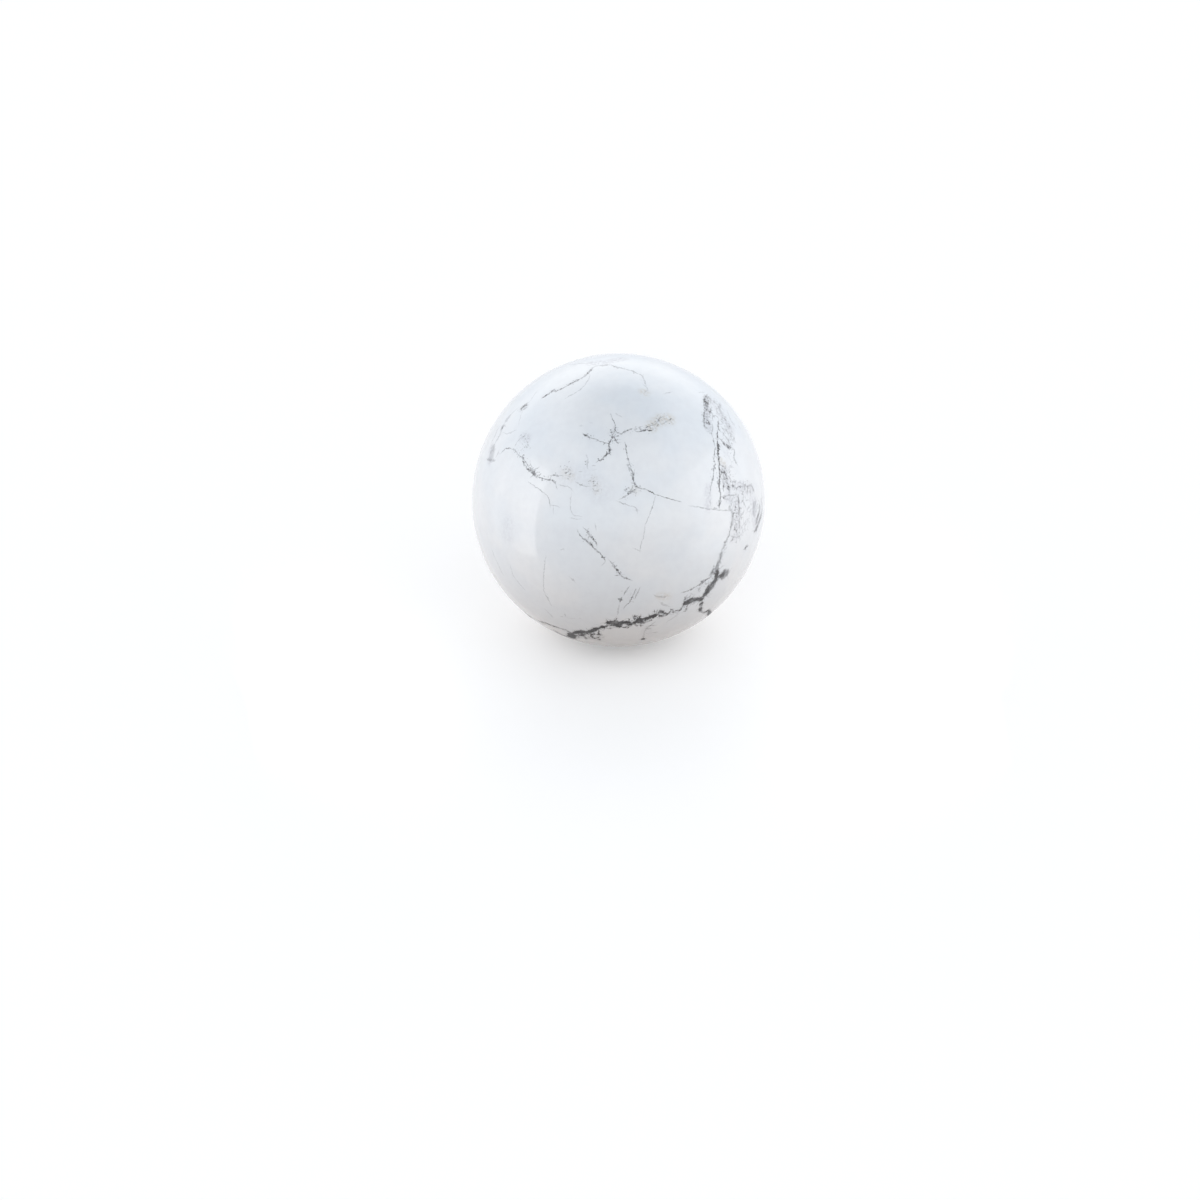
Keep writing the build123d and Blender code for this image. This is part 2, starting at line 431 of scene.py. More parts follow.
# %% [markdown]
# The right side is a broken band, where many small white nodules are packed in a net of dark lines. Its
# main cracks are routes like the rest. The net between them comes later, from the material. The band starts
# at the top with a small dark block and a fan of cracks beside it.

# %% Veins of the band's top
seen("band_upper_edge", 0.2, 0.74, [
    (707.5, 394, 0.5), (706, 396.5, 0.7), (704.8, 399, 0.9), (703.8, 403, 0.9), (704.3, 406.5, 0.8),
    (705, 410, 0.8), (704.2, 413.5, 1.1), (703.8, 416.5, 1.3), (704, 420, 1.5), (703.9, 424, 1.2),
    (704.7, 427.3, 0.8)])
seen("block_line_one", 0.22, 0.72, [
    (705, 399.5), (706, 402.3), (705.6, 405.2, 1.6), (706.6, 408, 1.1), (706.5, 410.2), (709, 411.2, 1.2),
    (710.2, 411.8, 1.7), (711.6, 412.6)])
seen("block_line_two", 0.17, 0.6, [
    (708.8, 396.6, 1.8), (707.3, 398.2), (708.6, 400.5), (708, 403.5, 1.3), (707.6, 407)])
seen("block_line_three", 0.17, 0.64, [(710.3, 408.6), (710.4, 411.5), (709.6, 413, 1.2), (709.8, 416)])
seen("block_line_four", 0.19, 0.74, [
    (704.5, 422.5, 1.3), (706.6, 423.2, 1.2), (708.6, 424.2), (710, 423.4, 1.9), (709.3, 421.8),
    (707.8, 420.3), (706.4, 418.8)])
seen("block_line_five", 0.16, 0.62, [(705, 426.2), (706.5, 427.5), (707.6, 428.9, 1.8)])
seen("block_line_six", 0.15, 0.55, [(704.5, 417.2), (706.3, 417), (708, 417.2)])
seen("block_side_dab", 0.2, 0.5, [(710, 399.8), (710.8, 401.8)])
seen("block_side_hair", 0.12, 0.38, [(710.4, 403.5), (711.2, 408)])
seen("fan_one", 0.17, 0.6, [(711.8, 413), (713.2, 415.5, 1.3), (712, 418.3), (712.7, 420)])
seen("fan_two", 0.14, 0.55, [(713, 416.6), (716, 415.2), (717.5, 417, 1.3), (719, 419.2)])
seen("fan_three", 0.17, 0.5, [(715.3, 408.5), (717, 411, 1.4), (717.2, 413.8)])
seen("fan_four", 0.2, 0.66, [(721.4, 416), (722.3, 417.3, 1.3), (723.4, 418.6)])
seen("fan_five", 0.2, 0.6, [(724.6, 418.3), (726, 420.2)])
seen("fan_six", 0.2, 0.66, [(720.5, 420.8), (722.4, 422, 1.2)])
seen("fan_seven", 0.2, 0.66, [(721.8, 427.3), (723.6, 430.2)])
seen("fan_eight", 0.18, 0.52, [(726, 429.8), (727.6, 432)])
seen("band_limb_edge", 0.17, 0.58, [(727.3, 411), (729, 416), (731, 421, 1.3), (734, 424.5), (736, 428)])
seen("band_limb_smear", 0.3, 0.22, [(738.5, 425.5), (741, 429.5)])
print(len(veins), "veins so far, with the band's top")

# %% [markdown]
# Down its middle the band has two long cracks side by side, with short cross cracks to the right of them.

# %% Veins of the band's middle
seen("band_middle_edge", 0.13, 0.6, [
    (712.4, 424.5), (712.8, 428, 1.2), (712.4, 430.5), (711.4, 433.4, 2.0), (713, 437),
    (713.8, 439.8, 1.3), (714.4, 445), (715.2, 448.3, 1.3), (714.5, 452), (714.5, 456, 1.8), (713.6, 459),
    (715.3, 463, 1.3), (714.3, 466.7, 1.5), (713.4, 472, 1.3), (713.2, 477), (712.3, 481, 1.2),
    (711, 486), (710.3, 490, 0.8), (710, 494, 0.6)])
seen("band_middle_spur", 0.12, 0.42, [(708, 431.6), (711.3, 433.3)])
seen("band_middle_foot", 0.17, 0.4, [(710.4, 500.5), (710.3, 505.5)])
seen("band_line_top", 0.18, 0.76, [
    (718.3, 420.8, 1.5), (718.4, 425), (718.4, 428, 1.1), (719.1, 430.2, 1.1), (721.2, 431.7, 0.8)])
seen("band_line", 0.17, 0.88, [
    (717.7, 431.5, 0.9), (717.3, 435, 0.8), (717.4, 440, 0.7), (717.2, 443), (718.3, 445.6, 2.4),
    (718.5, 449, 1.2), (718.4, 453), (718.5, 457, 1.2), (719.3, 462), (719.3, 470), (719.5, 478, 1.1),
    (719.2, 483), (719.7, 490), (720.3, 497), (720.1, 501, 1.2), (719.3, 504.3, 1.9),
    (719.3, 507.8, 1.2)])
seen("band_line_spur", 0.15, 0.55, [(717.4, 436.3), (718.7, 437.6, 1.5), (720, 438.7)])
seen("band_cross_one", 0.21, 0.72, [
    (720, 438.7, 0.7), (722.5, 441.6), (724.5, 444, 1.3), (726.5, 446, 1.5), (728.6, 447.8, 1.7),
    (731.6, 447.4, 0.8)])
seen("band_cross_two", 0.18, 0.56, [
    (723.4, 433.3, 0.7), (725, 436, 0.8), (726.2, 437.4, 1.2), (727.6, 439.6, 1.3), (729, 441.6, 1.4),
    (729.8, 444.2)])
seen("band_cross_dab", 0.18, 0.5, [(720.9, 444.4), (722, 446.2)])
seen("band_side_hair", 0.18, 0.52, [
    (731.8, 449.3, 0.8), (733.9, 448.2), (734.6, 452), (734, 456.5), (734.6, 459.8, 1.2),
    (735.8, 462, 1.7), (737.4, 464.8, 0.9)])
print(len(veins), "veins so far, with the band's middle")

# %% [markdown]
# Lower down the cracks step from nodule to nodule like the rungs of a ladder. A row of small drops leaves
# it for the right rim.

# %% Veins of the ladder and the row
seen("ladder_top", 0.15, 0.5, [(720.3, 464.8), (722, 466.2), (723.6, 466), (724.6, 468), (726.3, 470)])
seen("ladder_dark", 0.16, 0.76, [
    (720, 469.8, 1.2), (721.2, 471.5, 1.4), (722.6, 472.8, 1.2), (724.6, 473.2, 1.5),
    (726.2, 471.3, 0.9)])
seen("ladder_side", 0.17, 0.56, [(724.8, 473.6), (726.4, 476, 1.3), (727.4, 478), (726.4, 480.6, 0.8)])
seen("ladder_dab", 0.2, 0.55, [(728.8, 477), (730.5, 479.6)])
seen("ladder_rung", 0.14, 0.45, [(720, 477.5), (722.3, 478.4), (723.3, 481)])
seen("ladder_post", 0.22, 0.74, [(722.8, 481.8), (724, 484.5, 1.6), (723.4, 488), (723.8, 490.5, 0.8)])
seen("ladder_blob_one", 0.4, 0.76, [(728.1, 486.2), (729, 486.9)])
seen("ladder_blob_one_foot", 0.16, 0.5, [(727.2, 488), (727.5, 490), (730, 490.2)])
seen("ladder_blob_two", 0.4, 0.76, [(732.8, 484.3), (733, 486.6)])
seen("ladder_blob_two_foot", 0.17, 0.5, [(732.3, 488.2), (733, 490)])
seen("ladder_brow", 0.16, 0.5, [(731, 482.8), (733.4, 481.6, 1.3), (735.8, 481)])
seen("band_sill", 0.14, 0.5, [
    (721, 496.2, 0.7), (724.3, 497.2, 1.6), (726, 496.3, 1.2), (729, 495.7), (731.5, 496.1), (735, 494.8),
    (737, 494.2)])
seen("band_sill_dab", 0.2, 0.5, [(724.5, 496.6), (724.6, 499)])
seen("band_row", 0.21, 0.6, [
    (736.5, 488.2, 0.8), (738.6, 486.7), (741, 486.6), (743.5, 485.6), (745.3, 485, 1.2), (746.7, 486.5),
    (749, 486.6, 1.6), (750.5, 485.1, 1.1), (752, 485.6), (752.6, 488, 1.2), (753.9, 490.8, 1.2)])
seen("row_drop_one", 0.2, 0.42, [(745, 487), (745.1, 490.5)])
seen("row_drop_two", 0.22, 0.46, [(747.4, 489.8), (746.8, 494.2)])
seen("row_drop_three", 0.22, 0.42, [(750.4, 487.5), (750, 492), (751, 497.3)])
seen("band_slash", 0.22, 0.64, [(741, 490.3), (742.5, 493.3, 1.3), (744, 496.2)])
seen("band_drop", 0.2, 0.58, [
    (736.8, 494.4), (738.4, 499), (739.3, 503, 1.3), (738.6, 506), (739.4, 509.3, 1.2), (739.3, 514),
    (738.9, 518), (739.6, 522, 1.1), (739.6, 526), (739.5, 529, 1.8)])
seen("band_cell_one", 0.16, 0.42, [
    (733.2, 495.8), (732.4, 499), (731.4, 502), (731.6, 505.5), (729.8, 507)])
seen("band_cell_two", 0.18, 0.46, [(742.4, 500.6), (744.4, 504.4, 1.3), (745.6, 507)])
seen("band_cell_three", 0.18, 0.42, [
    (743.5, 507.6), (744.1, 511), (742.4, 514.2), (740.6, 516), (741.6, 518.3, 1.3)])
seen("band_cell_four", 0.15, 0.36, [(732.4, 511.5), (735, 513.5), (737.6, 512.5), (739.2, 514)])
seen("band_cell_five", 0.15, 0.36, [(733, 518.5), (735.8, 521), (737.6, 519.8), (739.4, 521)])
print(len(veins), "veins so far, with the ladder")

# %% [markdown]
# At its foot the band narrows to one strong vein, which runs down to the corner block of the rise. Grey
# lines follow the right rim, seen nearly edge on.

# %% Veins of the band's foot
seen("band_cap", 0.2, 0.55, [(712.6, 509.3, 0.7), (714.8, 508.6, 1.7), (717.5, 508.9)])
seen("long_line_corner", 0.07, 0.6, [(706.5, 508.9), (713, 509.7), (722, 510.3), (731, 510.9)])
seen("foot_edge", 0.24, 0.6, [
    (729.8, 505.5, 1.2), (729.6, 508, 2.0), (731.5, 511, 1.2), (732.5, 515, 1.4), (732.2, 519, 1.8),
    (731.5, 524, 1.3), (730.6, 529, 1.1), (729.5, 533), (728.3, 537, 1.2), (727, 540), (725, 543.3, 1.4),
    (724.2, 546, 1.2), (722.3, 550, 1.5), (720.5, 556, 1.8), (718.6, 562, 1.8), (717.2, 567, 1.9),
    (716.3, 571, 1.8), (716.6, 574, 1.7), (717.4, 577, 1.4)])
seen("foot_comb_one", 0.19, 0.6, [(734.9, 525.8), (735.2, 529, 1.3), (736.5, 532), (736.3, 535.3)])
seen("foot_comb_two", 0.17, 0.48, [
    (731, 536), (733.6, 537.2, 1.3), (736, 537.6), (739, 536.4), (740.7, 534.8)])
seen("foot_comb_three", 0.19, 0.56, [(733.4, 537.8), (731.6, 540.2, 1.2), (729.8, 542.3)])
seen("foot_comb_four", 0.15, 0.32, [(743, 530), (742.4, 533.4)])
seen("foot_branch", 0.24, 0.62, [
    (714, 565, 1.5), (713.5, 568), (712.6, 571.3, 1.6), (711.2, 574.3, 1.8), (709, 576, 1.3)])
seen("corner_block", 0.85, 0.6, [
    (719.5, 575.8, 0.7), (722.5, 574.8), (725.5, 574.6, 1.2), (727.4, 575.2, 1.3)])
seen("corner_block_post", 0.16, 0.4, [(727.8, 569.5), (727.9, 573)])
seen("right_rim_line", 0.42, 0.62, [
    (761, 499.5, 0.5), (762, 505, 0.8), (762, 511), (760.8, 516.5), (759.2, 521, 1.2), (757.6, 526),
    (756, 529, 0.9), (753.8, 533, 0.5)])
seen("right_rim_twin", 0.38, 0.54, [
    (759.5, 503), (759.8, 509, 1.3), (758.4, 515), (756.8, 520.5, 1.3), (755.4, 525)])
seen("right_rim_strand", 0.32, 0.5, [
    (755.5, 500.5), (754, 505.5, 1.3), (753.6, 511), (754.6, 516.5, 1.2)])
seen("lone_stroke", 0.32, 0.85, [(743.8, 549.3), (746, 547.5, 1.2), (748.4, 545.7)])
seen("brow_right", 0.14, 0.35, [(698.5, 392.6), (704.5, 392)])
seen("brow_left", 0.13, 0.35, [(664.5, 393.7), (671.5, 392)])
print(len(veins), "veins so far, with the broken band")

# %% [markdown]
# Single dark grains lie on the veins and apart from them. A grain is a vein so short that only its rounded
# end shows.

# %% Grains
GRAIN_HALF_LENGTH_PX = 0.4
# For each zone: the pixel of each grain, half its width in millimetres, and its ink
GRAINS = {
    "shoulder": [(526.6, 447, 0.3, 0.6)],
    "curl": [(521.5, 408.3, 0.5, 0.6), (524, 406.3, 0.5, 0.55), (526.3, 405.4, 0.45, 0.55)],
    "tick": [(593.8, 465.3, 0.3, 0.45), (595.1, 470, 0.25, 0.3)],
    "star_upper": [(591, 423, 0.4, 0.22)],
    "star_left": [(581, 426, 0.35, 0.25)],
    "star_end": [(585.3, 434.6, 0.42, 0.75), (589.5, 437.2, 0.25, 0.55)],
    "star_arm": [(597.6, 441, 0.24, 0.55)],
    "star_joint": [
        (611.6, 432.4, 0.36, 0.8), (617.7, 432.5, 0.3, 0.6), (615.3, 440.4, 0.3, 0.68),
        (618.4, 442.3, 0.26, 0.55), (620.9, 433.8, 0.26, 0.5), (617, 436, 0.26, 0.6),
        (614.8, 430.2, 0.28, 0.62), (613.2, 436.6, 0.3, 0.62), (610.3, 441.4, 0.28, 0.6),
        (616.2, 427.8, 0.26, 0.5), (609.8, 449.6, 0.26, 0.55)],
    "star_knee": [(609.2, 453.2, 0.34, 0.7)],
    "star_right": [
        (644, 430, 0.28, 0.75), (649.8, 430.3, 0.26, 0.7), (646, 427.6, 0.22, 0.5),
        (640, 428.6, 0.22, 0.4), (654.5, 424.8, 0.3, 0.4), (660.5, 417.2, 0.26, 0.4),
        (666, 421, 0.28, 0.35)],
    "heart": [
        (628.6, 464.9, 0.26, 0.5), (632.4, 473.5, 0.3, 0.65), (636.2, 486.3, 0.28, 0.6),
        (630.5, 491.9, 0.3, 0.55), (634, 490.5, 0.24, 0.4), (636.7, 510.2, 0.28, 0.35)],
    "patch": [
        (566.6, 472.5, 0.28, 0.75), (569.5, 470.5, 0.3, 0.55), (569.5, 477, 0.28, 0.5),
        (564.4, 469.4, 0.22, 0.5), (571.2, 474, 0.22, 0.45)],
    "nest": [
        (593.4, 481.5, 0.36, 0.78), (595.3, 485.8, 0.26, 0.6), (597, 490.6, 0.34, 0.78),
        (599.7, 489.4, 0.22, 0.45), (580.5, 472, 0.35, 0.5)],
    "slant": [(617.2, 575.2, 0.4, 0.7)],
    "olive": [(562.5, 549.5, 0.6, 0.35)],
    "seam": [(596.5, 624.5, 0.2, 0.45), (595.3, 627, 0.2, 0.45)],
    "left_low": [(561.5, 616.6, 0.35, 0.4), (580, 618.6, 0.35, 0.25)],
}

for zone, grains in GRAINS.items():
    for number, (px, py, half_width, ink) in enumerate(grains):
        ends = [(px - GRAIN_HALF_LENGTH_PX, py), (px + GRAIN_HALF_LENGTH_PX, py)]
        seen(f"{zone}_grain_{number}", half_width, ink, ends)
print(len(veins), "veins and grains on the side that the photograph shows")

# %% [markdown]
# The far side isn't in the photograph, so its veins are invented in the same manner. They pick up the veins
# that leave the front: over the crown, round both sides and under the bottom seam. Their points are far
# apart, and the crack's own wander, added below, fills in the bends.

# %% Veins of the far side
hidden("back_spine", 0.17, 0.85, [
    (166, 73, 0.5), (172, 66), (176, 58), (170, 44, 1.5), (178, 30, 1.8), (184, 16), (176, 3),
    (182, -12, 1.4), (190, -26, 1.8)])
hidden("back_left_fork", 0.14, 0.68, [
    (182, 30, 1.2), (196, 24), (210, 27), (222, 20, 1.7), (236, 22), (250, 16), (262, 20), (268, 20.5)])
hidden("back_low_seam", 0.32, 0.95, [
    (190, -26, 1.4), (205, -32), (220, -28, 1.8), (238, -36), (256, -33), (272, -40, 1.5), (290, -38),
    (308, -42), (321, -39, 0.6)])
hidden("band_back_edge", 0.17, 0.8, [
    (108, 44, 0.6), (104, 36), (102, 26, 1.6), (106, 12), (98, -3), (92, -14, 1.4), (84, -24),
    (80, -32, 0.6)])
hidden("right_side_line", 0.12, 0.58, [
    (106, 12), (116, 6), (128, 12, 1.6), (143, 6), (158, 10), (176, 3)])
hidden("under_seam", 0.2, 0.8, [
    (46, -33, 0.7), (56, -44), (70, -52, 1.4), (95, -58), (120, -52), (140, -56, 1.6), (165, -50),
    (185, -40), (190, -26)])
hidden("under_fork", 0.12, 0.58, [(-29, -45), (-32, -58), (-20, -70), (20, -80), (95, -76), (97, -58)])
hidden("back_upper_right", 0.12, 0.55, [(176, 58), (150, 50), (132, 56, 1.5), (118, 51), (113, 49)])
hidden("back_upper_left", 0.12, 0.58, [(238, 58), (228, 56, 1.4), (220, 46), (226, 34), (222, 20)])
hidden("left_side_line", 0.12, 0.55, [
    (250, 16), (256, 2), (264, -8, 1.5), (260, -20), (268, -32), (272, -40)])
hidden("right_low_line", 0.12, 0.55, [(128, 12), (134, -6), (126, -22), (132, -36), (122, -50)])
print(len(veins), "veins with the far side")

# %% [markdown]
# Between the named veins the stone has many hair cracks. On the far side a loop draws them: each starts at
# a random place, keeps its heading with small turns, and tapers out. The seed is fixed, so each run draws
# the same.

# %% Hair cracks of the far side
HAIR_COUNT = 90
HAIR_STEP_MM = 2.4
HAIR_STEPS = (2, 9)
HAIR_HALF_WIDTH_MM = (0.08, 0.15)
HAIR_INK = (0.2, 0.55)
HAIR_SWELL = (0.7, 1.5)
HAIR_WANDER = ((6.0, 0.8), (2.2, 0.3), (0.9, 0.12))
CRACK_BEND = 0.35
FRONT_CLEARANCE = 0.12
hair_draw = random.Random(23)


def crack_walk(draw, start, heading, step_mm, steps):
    """A walk over the ball that turns a little at each step."""
    route = [start]
    for _ in range(steps):
        side = np.cross(route[-1], heading)
        bend = draw.gauss(0.0, CRACK_BEND)
        heading = heading * math.cos(bend) + side * math.sin(bend)
        place = unit(route[-1] + heading * step_mm / RADIUS_MM)
        heading = unit(heading - place * float(heading @ place))
        route.append(place)
    return route


hair_cracks = []
while len(hair_cracks) < HAIR_COUNT:
    start = unit(np.array([hair_draw.gauss(0.0, 1.0) for _ in range(3)]))
    heading = unit(np.cross(start, [hair_draw.gauss(0.0, 1.0) for _ in range(3)]))
    route = crack_walk(hair_draw, start, heading, HAIR_STEP_MM, hair_draw.randint(*HAIR_STEPS))
    crack = {"name": f"hair_crack_{len(hair_cracks)}", "wander": HAIR_WANDER, "places": np.array(route),
             "half_width": hair_draw.uniform(*HAIR_HALF_WIDTH_MM), "ink": hair_draw.uniform(*HAIR_INK),
             "swells": np.array([hair_draw.uniform(*HAIR_SWELL) for _ in route])}
    if max(float(place @ front) for place in route) < FRONT_CLEARANCE:
        hair_cracks.append(crack)
veins += hair_cracks
print(len(veins), "veins in all")

# %% [markdown]
# A drawn route is too straight for a crack. Each route is sampled closely, its corners are rounded a
# little, and noise pushes the samples sideways. The width and the ink change along the way, and the width
# tapers at both ends. The noise gets a fixed seed. Without one it takes its seed from the clock, and no two
# runs are alike.

# %% Fray the routes
SAMPLE_MM = 0.12
ROUNDING_MM = 0.3
END_TAPER_MM = 0.7
END_SHARE = 0.25
PATCHES_PER_MM = 0.45
UNEVEN, UNEVEN_FAR = 0.3, 0.8
WANDER_SEED = 7
noise.seed_set(WANDER_SEED)


def round_corners(places):
    """The same samples, each averaged with its neighbours."""
    span = int(ROUNDING_MM / SAMPLE_MM)
    if len(places) <= 4 * span:
        return places
    padded = np.pad(places, ((span, span), (0, 0)), mode="edge")
    window = np.ones(2 * span + 1) / (2 * span + 1)
    return np.stack([np.convolve(padded[:, axis], window, "valid") for axis in range(3)], axis=1)


def fray(vein):
    """Close samples along one vein: places in millimetres, sideways directions, half widths and inks."""
    corners = vein["places"] * RADIUS_MM
    lengths = np.linalg.norm(np.diff(corners, axis=0), axis=1)
    at = np.concatenate([[0.0], np.cumsum(lengths)])
    along = np.linspace(0.0, at[-1], max(3, int(at[-1] / SAMPLE_MM)))
    swells = np.interp(along, at, vein["swells"])
    places = np.stack([np.interp(along, at, corners[:, axis]) for axis in range(3)], axis=1)
    places = round_corners(places)
    from_end = np.minimum(along, along[-1] - along)
    for wave, reach in vein["wander"]:
        held = np.minimum(1.0, from_end / wave)[:, None]
        pushes = np.array([noise.noise_vector(Vector(place / wave)) for place in places])
        places = places + pushes * reach * held
    outward = places / np.linalg.norm(places, axis=1)[:, None]
    places = outward * RADIUS_MM
    sideways = np.cross(outward, np.gradient(places, axis=0))
    sideways /= np.linalg.norm(sideways, axis=1)[:, None]
    patchy = np.array([noise.noise(Vector(place * PATCHES_PER_MM)) for place in places])
    taper = from_end / min(END_TAPER_MM, along[-1] / 3) * (1 - END_SHARE) + END_SHARE
    taper = np.clip(taper, 0.0, 1.0)
    uneven = UNEVEN_FAR if vein["wander"] is HIDDEN_WANDER else UNEVEN
    half_widths = vein["half_width"] * swells * (1.0 + uneven * patchy) * taper
    inks = np.clip(vein["ink"] * (1.0 + UNEVEN * patchy), 0.0, 1.0)
    return {"places": places, "sideways": sideways, "half_widths": half_widths, "inks": inks}


strands = [fray(vein) for vein in veins]
print(f"{sum(len(strand['places']) for strand in strands)} samples along the veins")

# %% [markdown]
# Strong veins send short twigs into the white, as the filling crept along side cracks. A second loop grows
# them from random samples of the strands, off to either side. On the far side each vein also gets
# companions: thinner strands that leave it, bow away a little and join it again, as the drawn veins of the
# front do.

# %% Twigs and companions
TWIG_PARENT_MM = {SEEN_WANDER: 0.35, HIDDEN_WANDER: 0.11, HAIR_WANDER: 0.16}
TWIG_PARENT_INK = 0.5
TWIG_SHARE = {SEEN_WANDER: 2.6, HIDDEN_WANDER: 1.4, HAIR_WANDER: 1.4}
TWIG_STEP_MM = 0.4
TWIG_STEPS = (2, 6)
TWIG_LEAN = 0.8
TWIG_HALF_WIDTH_MM = (0.06, 0.13)
TWIG_INK = (0.45, 0.9)
TWIG_SWELLS = (1.4, 0.6)
SIDE_WANDER = ((2.2, 0.2), (0.8, 0.1))
twig_draw = random.Random(41)


def side_crack(parent, half_width, ink_share, route, swells):
    """A thin crack that belongs to a vein."""
    return {"name": parent["name"], "half_width": half_width, "ink": parent["ink"] * ink_share,
            "wander": SIDE_WANDER, "places": np.array(route), "swells": swells}


def grow_twigs(vein, strand, count):
    """Short cracks that leave a vein at random samples, off to either side."""
    grown = []
    for at in [twig_draw.randrange(len(strand["places"])) for _ in range(count)]:
        start = unit(strand["places"][at])
        side = strand["sideways"][at] * twig_draw.choice((-1, 1))
        heading = unit(side + np.cross(start, side) * twig_draw.gauss(0.0, TWIG_LEAN))
        steps = twig_draw.randint(*TWIG_STEPS)
        route = crack_walk(twig_draw, start, heading, TWIG_STEP_MM, steps)
        half_width = twig_draw.uniform(*TWIG_HALF_WIDTH_MM)
        ink_share = twig_draw.uniform(*TWIG_INK)
        grown.append(side_crack(vein, half_width, ink_share, route, np.linspace(*TWIG_SWELLS, steps + 1)))
    return grown


COMPANIONS_PER_MM = 0.17
COMPANION_SAMPLES = (20, 70)
COMPANION_EVERY = 7
COMPANION_BOW_MM = (0.4, 1.4)
COMPANION_HALF_WIDTH_MM = (0.08, 0.14)
COMPANION_INK = (0.5, 0.95)
COMPANION_SWELL = (0.6, 1.6)


def grow_companions(vein, strand, count):
    """Thinner strands that leave a vein, bow away a little and join it again."""
    grown = []
    for _ in range(count):
        first = twig_draw.randrange(len(strand["places"]) - COMPANION_SAMPLES[0])
        picked = slice(first, first + twig_draw.randint(*COMPANION_SAMPLES), COMPANION_EVERY)
        bow = np.sin(np.linspace(0.0, math.pi, len(strand["places"][picked])))
        away = bow * twig_draw.uniform(*COMPANION_BOW_MM) * twig_draw.choice((-1, 1))
        places = strand["places"][picked] + strand["sideways"][picked] * away[:, None]
        route = [unit(place) for place in places]
        half_width = twig_draw.uniform(*COMPANION_HALF_WIDTH_MM)
        ink_share = twig_draw.uniform(*COMPANION_INK)
        swells = np.array([twig_draw.uniform(*COMPANION_SWELL) for _ in route])
        grown.append(side_crack(vein, half_width, ink_share, route, swells))
    return grown


twigs = []
companions = []
for vein, strand in zip(veins, strands):
    kind = vein["wander"]
    length_mm = len(strand["places"]) * SAMPLE_MM
    if vein["half_width"] >= TWIG_PARENT_MM[kind] and vein["ink"] >= TWIG_PARENT_INK:
        twigs += grow_twigs(vein, strand, int(length_mm * vein["half_width"] * TWIG_SHARE[kind]))
    if kind is HIDDEN_WANDER:
        companions += grow_companions(vein, strand, int(length_mm * COMPANIONS_PER_MM))
strands += [fray(crack) for crack in twigs + companions]
print(f"{len(twigs)} twigs and {len(companions)} companions")

# %% [markdown]
# The material will read, at each point of the mesh, how far the nearest vein is and on which side. Where
# two veins lie close together that reading would jump, so the veins are dealt out to a few layers, like
# sheets of tracing paper. A vein goes on the first sheet on which it keeps clear of the others, or else on
# the one where it crowds them least.

# %% Deal the veins out to layers
LAYER_COUNT = 12
LAYER_CLEARANCE_MM = 1.5
PROBE_EVERY = 5


def crowding(strand, layer):
    """How many of a strand's samples come too near to the strands that are already in a layer."""
    if not layer:
        return 0
    taken = np.concatenate([other["places"][::PROBE_EVERY] for other in layer])
    widths = np.concatenate([other["half_widths"][::PROBE_EVERY] for other in layer])
    probe = strand["places"][::PROBE_EVERY]
    gaps = np.linalg.norm(probe[:, None, :] - taken[None, :, :], axis=2) - widths[None, :]
    return int((gaps.min(axis=1) < LAYER_CLEARANCE_MM + strand["half_widths"][::PROBE_EVERY]).sum())


layers = [[] for _ in range(LAYER_COUNT)]
for strand in strands:
    counts = [crowding(strand, layer) for layer in layers]
    layers[counts.index(min(counts))].append(strand)
layers = [layer for layer in layers if layer]
print("strands on each layer:", [len(layer) for layer in layers])

# %% [markdown]
# The ball could be a UV sphere, but that crowds its faces at the poles. A cube is cut into a fine grid
# instead and blown up to a sphere, with the grid bent so that the faces come out nearly equal. Each side of
# the cube gets its own rectangle in the UV map, so a picture baked from the material uses the whole square.

# %% The ball's mesh
GRID_CUTS = 127
MAP_COLUMNS, MAP_ROWS = 3, 2
MAP_INSET = 0.012
CORNERS = ((0, 0), (1, 0), (1, 1), (0, 1))

shape = bmesh.new()
bmesh.ops.create_cube(shape, size=2.0)
uv_map = shape.loops.layers.uv.new("OFBake")
for number, face in enumerate(shape.faces):
    column, row = number % MAP_COLUMNS, number // MAP_COLUMNS
    for loop, (across, up) in zip(face.loops, CORNERS):
        inset_across = MAP_INSET + across * (1 - 2 * MAP_INSET)
        inset_up = MAP_INSET + up * (1 - 2 * MAP_INSET)
        loop[uv_map].uv = ((column + inset_across) / MAP_COLUMNS, (row + inset_up) / MAP_ROWS)
bmesh.ops.subdivide_edges(shape, edges=shape.edges[:], cuts=GRID_CUTS, use_grid_fill=True)
ball_mesh = bpy.data.meshes.new("howlite_ball")
shape.to_mesh(ball_mesh)
shape.free()

cube_points = np.zeros(len(ball_mesh.vertices) * 3)
ball_mesh.vertices.foreach_get("co", cube_points)
bent = np.tan(cube_points.reshape(-1, 3) * math.pi / 4)
outward = bent / np.linalg.norm(bent, axis=1)[:, None]
skin_mm = outward * RADIUS_MM
print(f"{len(ball_mesh.vertices)} points, {len(ball_mesh.polygons)} faces on the ball")

# %% [markdown]
# Now each layer is painted onto the points: the signed gap to the nearest vein, that vein's half width and
# its ink. A signed gap crosses zero exactly on the vein's middle, even between two points of the mesh, so a
# hair crack thinner than a face still draws as an unbroken line. The ink fades away from the vein.

# %% Paint the vein layers onto the points
FADE_START_MM, FADE_END_MM = 0.45, 0.75
PAST_END_MM = (0.1, 0.5)
GROOVE_EDGE = (0.3, 1.2)
GROOVE_LEAST_MM = 0.25
GRITTY_MM = (0.08, 0.16)
DUST_START_MM, DUST_END_MM = 0.1, 1.1


def smooth_step(low, high, value):
    """0 below low, 1 above high, and an easy slope between."""
    share = np.clip((value - low) / (high - low), 0.0, 1.0)
    return share * share * (3 - 2 * share)


